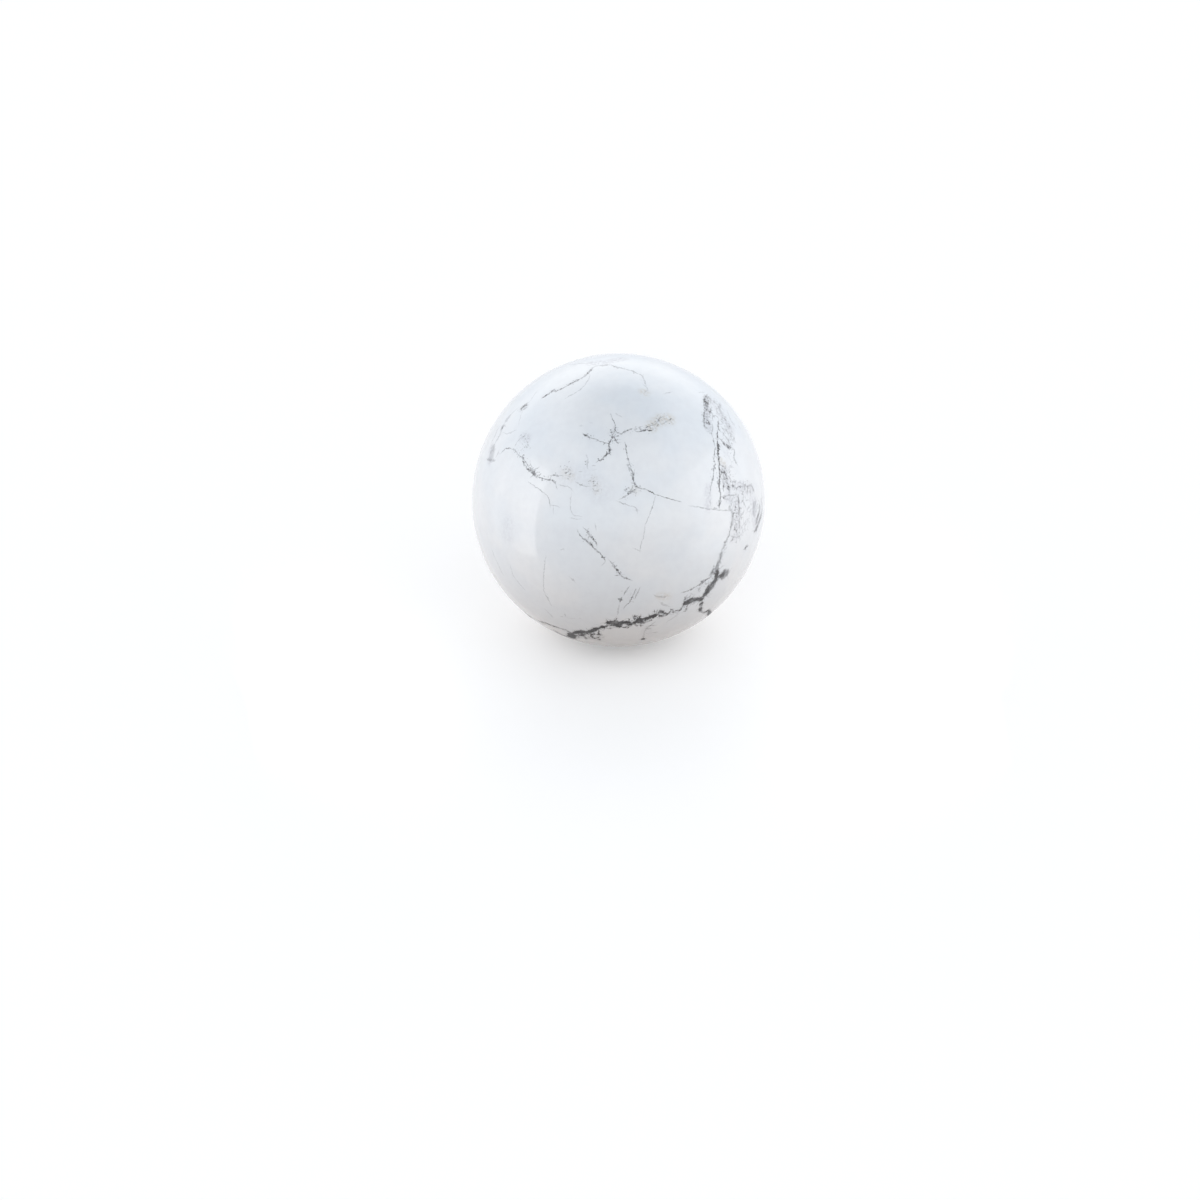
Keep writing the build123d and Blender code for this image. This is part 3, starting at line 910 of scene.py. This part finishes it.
def nearest(places):
    """For each point of the ball, the nearest of these places: its index and distance in millimetres."""
    tree = kdtree.KDTree(len(places))
    for index, place in enumerate(places):
        tree.insert(place, index)
    tree.balance()
    found = [tree.find(point)[1:] for point in skin_mm]
    return np.array([f[0] for f in found]), np.array([f[1] for f in found])


def paint(name, values):
    """Writes one number for each point of the ball into the mesh."""
    attribute = ball_mesh.attributes.new(name, "FLOAT", "POINT")
    attribute.data.foreach_set("value", values.astype(np.float32))


groove = np.zeros(len(skin_mm))
dusted = np.zeros(len(skin_mm))
for number, layer in enumerate(layers):
    joined = {key: np.concatenate([strand[key] for strand in layer]) for key in layer[0]}
    index, distance = nearest(joined["places"])
    gap = np.einsum("ij,ij->i", skin_mm - joined["places"][index], joined["sideways"][index])
    half_width = joined["half_widths"][index]
    past_end = np.sqrt(np.maximum(distance**2 - gap**2, 0.0))
    faded = smooth_step(half_width + FADE_START_MM, half_width + FADE_END_MM, distance)
    ink = joined["inks"][index] * (1 - faded)
    ink = ink * (1 - smooth_step(*PAST_END_MM, past_end))
    paint(f"gap_{number}", gap)
    paint(f"half_width_{number}", half_width)
    paint(f"ink_{number}", ink)
    across = distance / np.maximum(half_width, GROOVE_LEAST_MM)
    groove = np.maximum(groove, ink * (1 - smooth_step(*GROOVE_EDGE, across)))
    gritty = joined["inks"][index] * smooth_step(*GRITTY_MM, half_width)
    settled = smooth_step(half_width + DUST_START_MM, half_width + DUST_END_MM, distance)
    dusted = np.maximum(dusted, gritty * (1 - settled))
print(f"{len(layers)} layers painted, {int((groove > 0.3).sum())} points lie in a vein")

# %% [markdown]
# Some marks have no line at all. They could be cut into the mesh, but they are only colour, so each is a
# soft brush stroke along a route. A stroke has its radius in millimetres, its weight from 0 to 1, and its
# points. The first kind is the net: a zone where small nodules are packed with cracks all round them.

# %% Nets
strokes = {"net": [], "haze": [], "stain": [], "speck": []}


def brush(kind, to_place, radius_mm, weight, points):
    """One soft stroke of a mark along a route."""
    strokes[kind].append((radius_mm, weight, [to_place(*point) for point in points]))


net = functools.partial(brush, "net", stone_at_pixel)
far_net = functools.partial(brush, "net", stone_at_angles)

net(2.0, 0.6, [(708, 398), (707, 413), (709, 428)])
net(2.6, 0.72, [(716, 402), (724, 418), (731, 436)])
net(2.0, 0.66, [(724, 430), (729, 446)])
net(2.2, 0.35, [(727, 455), (733, 470)])
net(2.0, 0.65, [(724, 470), (728, 487)])
net(2.0, 0.6, [(735, 486), (752, 489)])
net(2.2, 0.55, [(727, 497), (748, 500)])
net(3.0, 0.6, [(737, 505), (738, 535)])
net(3.0, 0.45, [(748, 505), (745, 530)])
net(2.2, 0.45, [(757, 503), (757, 522)])
net(1.2, 0.6, [(726, 543), (719, 563)])
net(1.5, 0.6, [(713, 571), (722, 577)])
net(1.6, 0.8, [(574, 636), (601, 637)])
net(1.4, 0.8, [(610, 625), (645, 620)])
net(1.4, 0.6, [(686, 599), (712, 578)])
far_net(2.6, 0.5, [(105, 38), (101, 27), (104, 15)])
far_net(2.2, 0.45, [(99, -1), (93, -12)])
far_net(5.0, 0.6, [(178, 34), (180, 24)])
far_net(6.0, 0.55, [(212, -29), (226, -31)])
far_net(4.0, 0.6, [(272, -40), (284, -39)])
far_net(4.5, 0.6, [(140, -55), (150, -52)])
print(len(strokes["net"]), "strokes of net")

# %% [markdown]
# A haze is a grey or lilac cloud inside the white, and a stain is a beige one. Both are faint, and noise in
# the material breaks them up.

# %% Hazes and stains
haze = functools.partial(brush, "haze", stone_at_pixel)
stain = functools.partial(brush, "stain", stone_at_pixel)

haze(2.0, 0.7, [(593, 363), (607, 362), (622, 359)])
haze(1.4, 0.5, [(708, 488), (708, 508)])
haze(1.6, 0.5, [(523, 437), (527, 438.5)])
haze(2.0, 0.6, [(753, 501), (755, 504), (753.5, 510), (753.5, 516), (755.5, 522), (757, 526)])
haze(1.3, 0.55, [(706.5, 397), (707, 413), (708, 428)])
haze(2.2, 0.35, [(714, 405), (723, 418), (730, 428)])
haze(2.0, 0.4, [(723, 468), (726, 480), (730, 488)])
haze(2.0, 0.35, [(737, 487), (752, 489)])
haze(2.4, 0.4, [(730, 497), (737, 503), (737, 520), (735, 535)])
haze(1.5, 0.6, [(491, 448), (490, 460)])
haze(3.6, 0.18, [(566, 474), (590, 480), (600, 492)])
haze(3.0, 0.25, [(509, 525), (507, 534)])
haze(2.0, 0.25, [(647, 629), (648, 634)])
stain(2.0, 0.6, [(652, 426), (660, 420), (669, 419)])
stain(1.4, 0.5, [(643, 391), (646, 393)])
stain(1.6, 0.3, [(566, 473), (570, 476)])
stain(1.4, 0.2, [(594, 481), (597, 490)])
stain(1.2, 0.25, [(632, 489), (636, 491)])
stain(1.2, 0.5, [(721, 461), (724, 464)])
stain(1.5, 0.4, [(660, 596), (667, 597)])
print(len(strokes["haze"]), "hazes and", len(strokes["stain"]), "stains")

# %% [markdown]
# Specks are grains too fine to draw one by one. Some already lie along the veins, and these strokes add
# more where the stone is dusted with them.

# %% Specks
specks = functools.partial(brush, "speck", stone_at_pixel)

specks(1.7, 1.0, [(613, 430), (615, 440)])
specks(1.1, 0.9, [(585, 435), (590, 437.5)])
specks(1.0, 0.8, [(609, 446), (608, 455), (600, 460)])
specks(1.2, 0.8, [(626, 431), (633, 429), (653, 428)])
specks(1.7, 0.75, [(655, 425), (662, 418), (670, 420)])
specks(1.1, 0.8, [(628, 461), (633, 475), (634.5, 485)])
specks(1.6, 0.95, [(628, 492), (637, 489)])
specks(1.4, 0.72, [(593, 480), (597, 491)])
specks(1.8, 0.66, [(565, 467), (570, 477)])
specks(1.5, 0.9, [(520.5, 409), (526, 405)])
specks(1.2, 0.8, [(516, 451), (523, 458), (530, 470), (537, 475), (551, 480)])
specks(1.4, 0.7, [(553, 391), (543, 397)])
specks(2.2, 0.6, [(523, 437), (526, 447)])
specks(1.0, 0.6, [(579, 532), (600, 553)])
specks(2.4, 0.55, [(712, 400), (728, 430), (733, 460)])
specks(1.5, 0.9, [(706, 397), (707, 413), (708, 427)])
specks(1.6, 0.8, [(723, 468), (725, 480), (729, 488)])
specks(2.4, 0.65, [(724, 470), (735, 487), (752, 488)])
specks(2.6, 0.55, [(736, 500), (738, 535)])
specks(1.5, 0.6, [(546, 623), (568, 631)])
specks(1.8, 0.6, [(575, 637), (600, 637)])
specks(1.6, 0.6, [(610, 624), (650, 619)])
print(len(strokes["speck"]), "strokes of specks")

# %% [markdown]
# Each kind of mark becomes one number on each point of the mesh. It is that of the strongest stroke that
# reaches the point, and it fades out at the stroke's edge.

# %% Paint the marks onto the points
STROKE_SAMPLES = 40
STROKE_CORE, STROKE_EDGE = 0.25, 1.25

for kind, marks in strokes.items():
    field = dusted if kind == "speck" else np.zeros(len(skin_mm))
    for radius_mm, weight, places in marks:
        ends = np.array(places) * RADIUS_MM
        along = np.linspace(0.0, len(ends) - 1.0, STROKE_SAMPLES)
        numbers = np.arange(len(ends))
        line = np.stack([np.interp(along, numbers, ends[:, axis]) for axis in range(3)], axis=1)
        gaps = np.min([np.linalg.norm(skin_mm - place, axis=1) for place in line], axis=0)
        faded = smooth_step(STROKE_CORE * radius_mm, STROKE_EDGE * radius_mm, gaps)
        field = np.maximum(field, weight * (1 - faded))
    paint(kind, field)
    print(f"{kind}: {len(marks)} strokes over {int((field > 0.1).sum())} points")

# %% [markdown]
# Polish can't bring soft vein filling level with the hard white stone, so a strong vein lies a few
# hundredths of a millimetre lower. That is a real shape, so the points move inward there. The white stone
# keeps the true sphere.

# %% The veins' slight relief
GROOVE_DEPTH_MM = 0.03

sunk_mm = skin_mm - outward * (groove * GROOVE_DEPTH_MM)[:, None]
ball_mesh.vertices.foreach_set("co", (sunk_mm * MM + BALL_CENTRE).ravel())
ball_mesh.update()
ball_mesh.shade_smooth()
ball = bpy.data.objects.new("howlite_ball", ball_mesh)
bpy.context.scene.collection.objects.link(ball)
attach(ball, "root")
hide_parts("howlite_sphere")
print(f"deepest groove {groove.max() * GROOVE_DEPTH_MM:.3f} mm")

# %% [markdown]
# Shader maths reads best as plain sums. With this small class a sum like 1 - a adds the Math node for it,
# because the class wraps a node's output and overloads the operators. Any other node comes from the one
# method, node, which sets the node's own settings first and then the values or links of its sockets.

# %% Sums that become nodes
class Field:
    """A value that changes over a surface: one output of a node, used like a number."""

    def __init__(self, socket):
        self.socket = socket

    @staticmethod
    def pick(sockets, key):
        """The socket of that name, or at that place, among those that the node's settings leave in use."""
        used = [socket for socket in sockets if socket.enabled]
        return used[key] if isinstance(key, int) else next(s for s in used if s.name == key)

    @staticmethod
    def node(tree, kind, settings=None, inputs=None, output=0):
        """Adds one node and gives the chosen output."""
        made = tree.nodes.new(kind)
        for name, value in (settings or {}).items():
            setattr(made, name, value)
        for key, value in (inputs or {}).items():
            socket = Field.pick(made.inputs, key)
            if isinstance(value, Field):
                tree.links.new(value.socket, socket)
            else:
                socket.default_value = value
        return Field(Field.pick(made.outputs, output)) if made.outputs else None

    def math(self, operation, first, second=0.0):
        """Adds one Math node to the tree that this value is in."""
        inputs = {0: first} if operation == "ABSOLUTE" else {0: first, 1: second}
        return Field.node(self.socket.id_data, "ShaderNodeMath", {"operation": operation}, inputs)

    def __add__(self, other):
        return self.math("ADD", self, other)

    def __radd__(self, other):
        return self.math("ADD", other, self)

    def __sub__(self, other):
        return self.math("SUBTRACT", self, other)

    def __rsub__(self, other):
        return self.math("SUBTRACT", other, self)

    def __mul__(self, other):
        return self.math("MULTIPLY", self, other)

    def __rmul__(self, other):
        return self.math("MULTIPLY", other, self)

    def __abs__(self):
        return self.math("ABSOLUTE", self)

    def at_least(self, other):
        """The larger of this and another."""
        return self.math("MAXIMUM", self, other)

    def step(self, low, high):
        """0 where this is at low, 1 where it is at high, with an easy slope between."""
        settings = {"interpolation_type": "SMOOTHSTEP"}
        inputs = {"Value": self, "From Min": low, "From Max": high}
        return Field.node(self.socket.id_data, "ShaderNodeMapRange", settings, inputs)


print("shader sums ready")

# %% [markdown]
# The white of howlite isn't flat. Cool, slightly blue white and warmer chalk white drift into each other in
# clouds a centimetre or two across, with a fine mottling inside them. All textures are measured in
# millimetres on the stone, so their scale stays true.

# %% The clouded white
COOL_WHITE = (0.715, 0.760, 0.808, 1.0)
CHALK_WHITE = (0.757, 0.786, 0.818, 1.0)
HAZE_GREY = (0.46, 0.47, 0.53, 1.0)
STAIN_BEIGE = (0.56, 0.52, 0.45, 1.0)
CLOUD_ROUGHNESS = 0.55
CLOUDS_PER_MM = 0.055
MOTTLES_PER_MM = 0.5
MOTTLE_SHARE = 0.09
STAIN_PATCHES_PER_MM = 1.4


def blend(add, share, first, second):
    """A colour between two others."""
    return add("ShaderNodeMix", {"data_type": "RGBA"}, {"Factor": share, "A": first, "B": second})


def clouds(add, place, per_mm, detail):
    """Soft noise with so many waves to the millimetre, about 0.5 on average."""
    inputs = {"Vector": place, "Scale": per_mm, "Detail": detail, "Roughness": CLOUD_ROUGHNESS}
    return add("ShaderNodeTexNoise", None, inputs)


def painted(add, name):
    """A number that was painted onto the ball's points."""
    return add("ShaderNodeAttribute", {"attribute_name": name}, None, "Fac")


def clouded_white(add, place):
    """The stone's own colour before any vein."""
    broad = clouds(add, place, CLOUDS_PER_MM, 3.0).step(0.36, 0.64)
    mottle = clouds(add, place, MOTTLES_PER_MM, 5.0).step(0.3, 0.75)
    white = blend(add, broad, COOL_WHITE, CHALK_WHITE)
    white = blend(add, mottle * MOTTLE_SHARE, white, HAZE_GREY)
    patchy = clouds(add, place, STAIN_PATCHES_PER_MM, 3.0).step(0.25, 0.7)
    white = blend(add, painted(add, "haze") * patchy, white, HAZE_GREY)
    return blend(add, painted(add, "stain") * patchy, white, STAIN_BEIGE)


print("clouded white between", COOL_WHITE[:3], "and", CHALK_WHITE[:3])

# %% [markdown]
# A vein isn't a pen line. Its filling is gritty: fine noise makes the edge creep in and out, coarser noise
# makes it swell and starve, and only a thin thread runs through unbroken. Beside a broad vein the cracks
# between nodules hold filling too, which draws a fringe of lace. The layers are joined by multiplying what
# each leaves clear.

# %% The veins' ink
EDGE_SOFT_MM = 0.045
NODULES_PER_MM = 1.3
WAVER_PER_MM, WAVER_MM = 1.4, 0.8
GRIT_PER_MM = 1.7
LUMPS_PER_MM = 0.45
TONES_PER_MM = 2.2
BROAD_MM = (0.2, 0.45)
LACE_MM, LACE_SHARE = (0.13, 0.03), 0.75
THREAD_MM, THREAD_SHARE = (0.16, 0.04), 0.6


def vein_ink(add, place):
    """How much dark filling shows, from 0 to 1, from all the vein layers."""
    waver = (clouds(add, place, WAVER_PER_MM, 4.0) - 0.5) * WAVER_MM
    grit = clouds(add, place, GRIT_PER_MM, 3.0).step(0.34, 0.66)
    lump = clouds(add, place, LUMPS_PER_MM, 2.0).step(0.34, 0.66)
    fullness = 0.25 + grit * 0.85 + lump * 0.6
    tone = 0.6 + clouds(add, place, TONES_PER_MM, 2.0).step(0.36, 0.64) * 0.55
    inputs = {"Vector": place, "Scale": NODULES_PER_MM}
    border = add("ShaderNodeTexVoronoi", {"feature": "DISTANCE_TO_EDGE"}, inputs) * (1 / NODULES_PER_MM)
    lace = border.step(*LACE_MM) * LACE_SHARE
    clear = 1.0
    for number in range(len(layers)):
        half_width = painted(add, f"half_width_{number}")
        gap = abs(painted(add, f"gap_{number}") + waver)
        broad = half_width.step(*BROAD_MM)
        reach = half_width * (fullness.at_least(broad * 0.9) + broad * 0.2)
        core = gap.step(reach + EDGE_SOFT_MM, reach - EDGE_SOFT_MM)
        thread = gap.step(*THREAD_MM) * THREAD_SHARE
        fringe = gap.step(half_width * 2.2 + 0.3, half_width * 0.6) * broad * lace
        dark = core.at_least(thread).at_least(fringe)
        clear = clear * (1 - dark * painted(add, f"ink_{number}") * tone.at_least(broad))
    return 1 - clear


print(f"{len(layers)} layers of ink")

# %% [markdown]
# Fine specks of filling lie scattered round a vein, most thickly where veins meet. They could be modelled
# one by one, but there are thousands. Noise is cut off near its peaks instead, and the painted density
# lowers the cut, so specks appear where they are wanted and thin out at the edges.

# %% The specks
SPECKS_PER_MM = 2.0
SPECK_CUT = (0.70, 0.80)
SPECK_LIFT = 0.2


def speck_ink(add, place):
    """How much dark filling shows as fine specks."""
    density = painted(add, "speck")
    peaks = clouds(add, place, SPECKS_PER_MM, 2.0) + density * SPECK_LIFT
    dark = 0.4 + clouds(add, place, 0.8, 2.0).step(0.35, 0.65) * 0.4
    return peaks.step(*SPECK_CUT) * density.step(0.02, 0.3) * dark


print(f"specks about {0.5 / SPECKS_PER_MM:.2f} mm across")

# %% [markdown]
# In the broken band the cracks close round every nodule. A Voronoi texture can give the distance to the
# border between cells, which draws such a net directly. Left alone it looks like a honeycomb, so the place
# is bent first, by a wide wave that stretches the cells and a short one that roughens them. Noise then
# wipes out part of the lines. Where the net is dense, a second and finer net fills it in.

# %% The net of cracks
NET_CELLS_PER_MM = 0.55
FINE_CELLS_PER_MM = 1.4
NET_LINE_MM, NET_SWELL_MM = 0.045, 0.09
# Waves to the millimetre, and how far they push the place in millimetres
WIDE_BEND = (0.2, 5.0)
SHORT_BEND = (1.1, 0.9)


def bend(add, place, per_mm, reach_mm):
    """The place, pushed about by noise with so many waves to the millimetre."""
    push = add("ShaderNodeTexNoise", None, {"Vector": place, "Scale": per_mm, "Detail": 2.0}, "Color")
    offset = add("ShaderNodeVectorMath", {"operation": "SUBTRACT"}, {0: push, 1: (0.5, 0.5, 0.5)})
    scaled = add("ShaderNodeVectorMath", {"operation": "SCALE"}, {"Vector": offset, "Scale": reach_mm})
    return add("ShaderNodeVectorMath", {"operation": "ADD"}, {0: place, 1: scaled})


def net_ink(add, place):
    """How much dark filling shows in the zones of packed nodules."""
    bent_place = bend(add, bend(add, place, *WIDE_BEND), *SHORT_BEND)
    density = painted(add, "net")
    patchy = clouds(add, place, 0.6, 2.0).step(0.35, 0.7)
    whole = clouds(add, place, 0.9, 3.0).step(0.33, 0.53)
    reach = NET_LINE_MM + patchy * NET_SWELL_MM
    coarse, fine = density.step(0.05, 0.7), density.step(0.4, 1.0)
    clear = 1.0
    for per_mm, share in ((NET_CELLS_PER_MM, coarse), (FINE_CELLS_PER_MM, fine)):
        inputs = {"Vector": bent_place, "Scale": per_mm}
        border = add("ShaderNodeTexVoronoi", {"feature": "DISTANCE_TO_EDGE"}, inputs) * (1 / per_mm)
        line = border.step(reach + EDGE_SOFT_MM, reach - EDGE_SOFT_MM)
        clear = clear * (1 - line * share * whole * (0.3 + patchy * 0.4))
    return 1 - clear


print(f"nodules about {1 / NET_CELLS_PER_MM:.1f} mm across")

# %% [markdown]
# The finish puts it together. The filling is cool grey where it is thin and near black where it is thick,
# and it takes less polish than the white stone. The polish itself is the shader's own gloss at howlite's
# refractive index.

# %% Polished howlite
FILLING_THIN = (0.235, 0.25, 0.285, 1.0)
FILLING_THICK = (0.032, 0.03, 0.032, 1.0)
HOWLITE_IOR = 1.59
PITS_PER_MM, PIT_DEPTH_MM, PIT_STRENGTH = 3.0, 0.02, 0.6
POLISH_ROUGHNESS, FILLING_ROUGHNESS = 0.07, 0.5


def polished_howlite():
    """The whole finish of the ball."""
    material = bpy.data.materials.new("polished_howlite")
    material.use_nodes = True
    tree = material.node_tree
    tree.nodes.clear()
    add = functools.partial(Field.node, tree)
    here = add("ShaderNodeTexCoord", None, None, "Object")
    place = add("ShaderNodeVectorMath", {"operation": "SCALE"}, {"Vector": here, "Scale": 1 / MM})
    clear = (1 - vein_ink(add, place)) * (1 - speck_ink(add, place)) * (1 - net_ink(add, place))
    ink = 1 - clear
    filling = blend(add, ink.step(0.25, 0.95), FILLING_THIN, FILLING_THICK)
    colour = blend(add, ink, clouded_white(add, place), filling)
    pits = clouds(add, place, PITS_PER_MM, 3.0)
    height = ink * (pits - 1.0)
    inputs = {"Strength": PIT_STRENGTH, "Distance": PIT_DEPTH_MM * MM, "Height": height}
    bump = add("ShaderNodeBump", None, inputs)
    roughness = POLISH_ROUGHNESS + ink * FILLING_ROUGHNESS
    inputs = {"Base Color": colour, "Roughness": roughness, "IOR": HOWLITE_IOR, "Normal": bump}
    surface = add("ShaderNodeBsdfPrincipled", None, inputs)
    add("ShaderNodeOutputMaterial", None, {"Surface": surface})
    return material


ball_mesh.materials.append(polished_howlite())
print(f"{len(ball_mesh.materials[0].node_tree.nodes)} nodes in the finish")

# %% [markdown]
# The stage is a pale floor. Seen by the camera, or in the polish, the floor is lifted
# to white and keeps the ball's shadow. The light that bounces off it up to the ball is that of a plain
# darker floor, so the underside of the ball keeps its shade.

# %% Floor
FLOOR_SIDE = 12.0
FLOOR_PALE = (0.77, 0.77, 0.77, 1.0)
FLOOR_LIFT = (0.25, 0.25, 0.25, 1.0)
FLOOR_BOUNCE = (0.44, 0.345, 0.28, 1.0)


def seen_directly(add):
    """1 for what the camera sees, straight or in polish or glass, and 0 for bounced light."""
    camera_ray = add("ShaderNodeLightPath", None, None, "Is Camera Ray")
    glossy_ray = add("ShaderNodeLightPath", None, None, "Is Glossy Ray")
    glass_ray = add("ShaderNodeLightPath", None, None, "Is Transmission Ray")
    return 1 - (1 - camera_ray) * (1 - glossy_ray) * (1 - glass_ray)


def pale_floor():
    """A matt floor that looks white and keeps the ball's shadow."""
    material = bpy.data.materials.new("pale_floor")
    material.use_nodes = True
    tree = material.node_tree
    tree.nodes.clear()
    add = functools.partial(Field.node, tree)
    pale = add("ShaderNodeBsdfDiffuse", None, {"Color": FLOOR_PALE})
    lift = add("ShaderNodeEmission", None, {"Color": FLOOR_LIFT})
    lifted = add("ShaderNodeAddShader", None, {0: pale, 1: lift})
    bounce = add("ShaderNodeBsdfDiffuse", None, {"Color": FLOOR_BOUNCE})
    surface = add("ShaderNodeMixShader", None, {0: seen_directly(add), 1: bounce, 2: lifted})
    add("ShaderNodeOutputMaterial", None, {"Surface": surface})
    return material


floor_mesh = bpy.data.meshes.new("floor")
half = FLOOR_SIDE / 2
floor_z = float(BALL_CENTRE[2]) - BALL_RADIUS
corners = [(across * half, deep * half, floor_z) for across, deep in ((-1, -1), (1, -1), (1, 1), (-1, 1))]
floor_mesh.from_pydata(corners, [], [(0, 1, 2, 3)])
floor_mesh.materials.append(pale_floor())
floor = bpy.data.objects.new("floor", floor_mesh)
bpy.context.scene.collection.objects.link(floor)
print(f"floor at {floor_z / MM:.1f} mm")

# %% [markdown]
# A light tent gives this kind of picture: white walls all round, brighter in front and behind, and a darker
# opening overhead. Walls could be built as lit sheets. They are the world's colour instead, worked out from
# the direction in which the light comes, because that adds no noise and needs no room round the ball.

# %% Light tent
WALL_LIGHT = (1.075, 1.10, 1.145, 1.0)
FRONT_LIGHT = (1.55, 1.62, 1.66, 1.0)
BACK_LIGHT = (2.08, 2.06, 2.03, 1.0)
OVERHEAD_LIGHT = (0.05, 0.05, 0.05, 1.0)
WALL_TOP, OPENING_EDGE = math.sin(math.radians(50)), math.sin(math.radians(79))
# Where the back and the front wall start and are full, as parts of a direction of length 1
BACK_DEPTH, BACK_HEIGHT = (0.35, 0.95), (0.05, 0.5)
FRONT_DEPTH, FRONT_HEIGHT = (-0.2, -0.9), (0.75, 0.25)

world = bpy.data.worlds.new("light_tent")
world.use_nodes = True
world.node_tree.nodes.clear()
add = functools.partial(Field.node, world.node_tree)
facing = add("ShaderNodeTexCoord", None, None, "Generated")
height = add("ShaderNodeSeparateXYZ", None, {"Vector": facing}, "Z")
depth = add("ShaderNodeSeparateXYZ", None, {"Vector": facing}, "Y")
behind = depth.step(*BACK_DEPTH) * height.step(*BACK_HEIGHT)
before = depth.step(*FRONT_DEPTH) * height.step(*FRONT_HEIGHT)
walls = blend(add, before, blend(add, behind, WALL_LIGHT, BACK_LIGHT), FRONT_LIGHT)
tent = blend(add, height.step(WALL_TOP, OPENING_EDGE), walls, OVERHEAD_LIGHT)
background = add("ShaderNodeBackground", None, {"Color": tent})
add("ShaderNodeOutputWorld", None, {"Surface": background})
bpy.context.scene.world = world
print(f"{len(world.node_tree.nodes)} nodes in the light tent")

# %% [markdown]
# A softbox stands at each side and shows in the polish as a pale panel. One lamp would give the panel a
# hard edge, so a few thin sheets of light share it, with their edges a little apart.

# %% Softboxes
SOFTBOX_AWAY = 0.1
SOFTBOX_TALL = 0.1


def softbox(name, near_edges, far_edges, brightness):
    """An upright panel beside the ball, with the azimuths of each sheet's two edges."""
    for sheet, (near, far) in enumerate(zip(near_edges, far_edges)):
        light = bpy.data.lights.new(f"{name}_{sheet}", "AREA")
        light.shape = "RECTANGLE"
        light.size = 2 * SOFTBOX_AWAY * math.tan(math.radians(abs(far - near) / 2))
        light.size_y = SOFTBOX_TALL
        light.energy = brightness / len(near_edges) * math.pi * light.size * light.size_y
        lamp = bpy.data.objects.new(f"{name}_{sheet}", light)
        aim = Vector(stone_at_angles((near + far) / 2, 0.0))
        lamp.location = Vector(BALL_CENTRE) + aim * SOFTBOX_AWAY
        lamp.location.z = floor_z + SOFTBOX_TALL / 2 + MM
        lamp.rotation_euler = aim.to_track_quat("Z", "Y").to_euler()
        lamp.visible_camera = False
        bpy.context.scene.collection.objects.link(lamp)
    print(f"{name}: {len(near_edges)} sheets, {brightness} times as bright as white paper")


LEFT_BRIGHTNESS = 1.25
RIGHT_BRIGHTNESS = 0.82
softbox("left_softbox", (-54, -54, -54, -54), (-64, -69, -76, -95), LEFT_BRIGHTNESS)
softbox("right_softbox", (42, 46, 50, 54), (75, 84, 95, 110), RIGHT_BRIGHTNESS)
bpy.context.scene.view_settings.view_transform = "Standard"
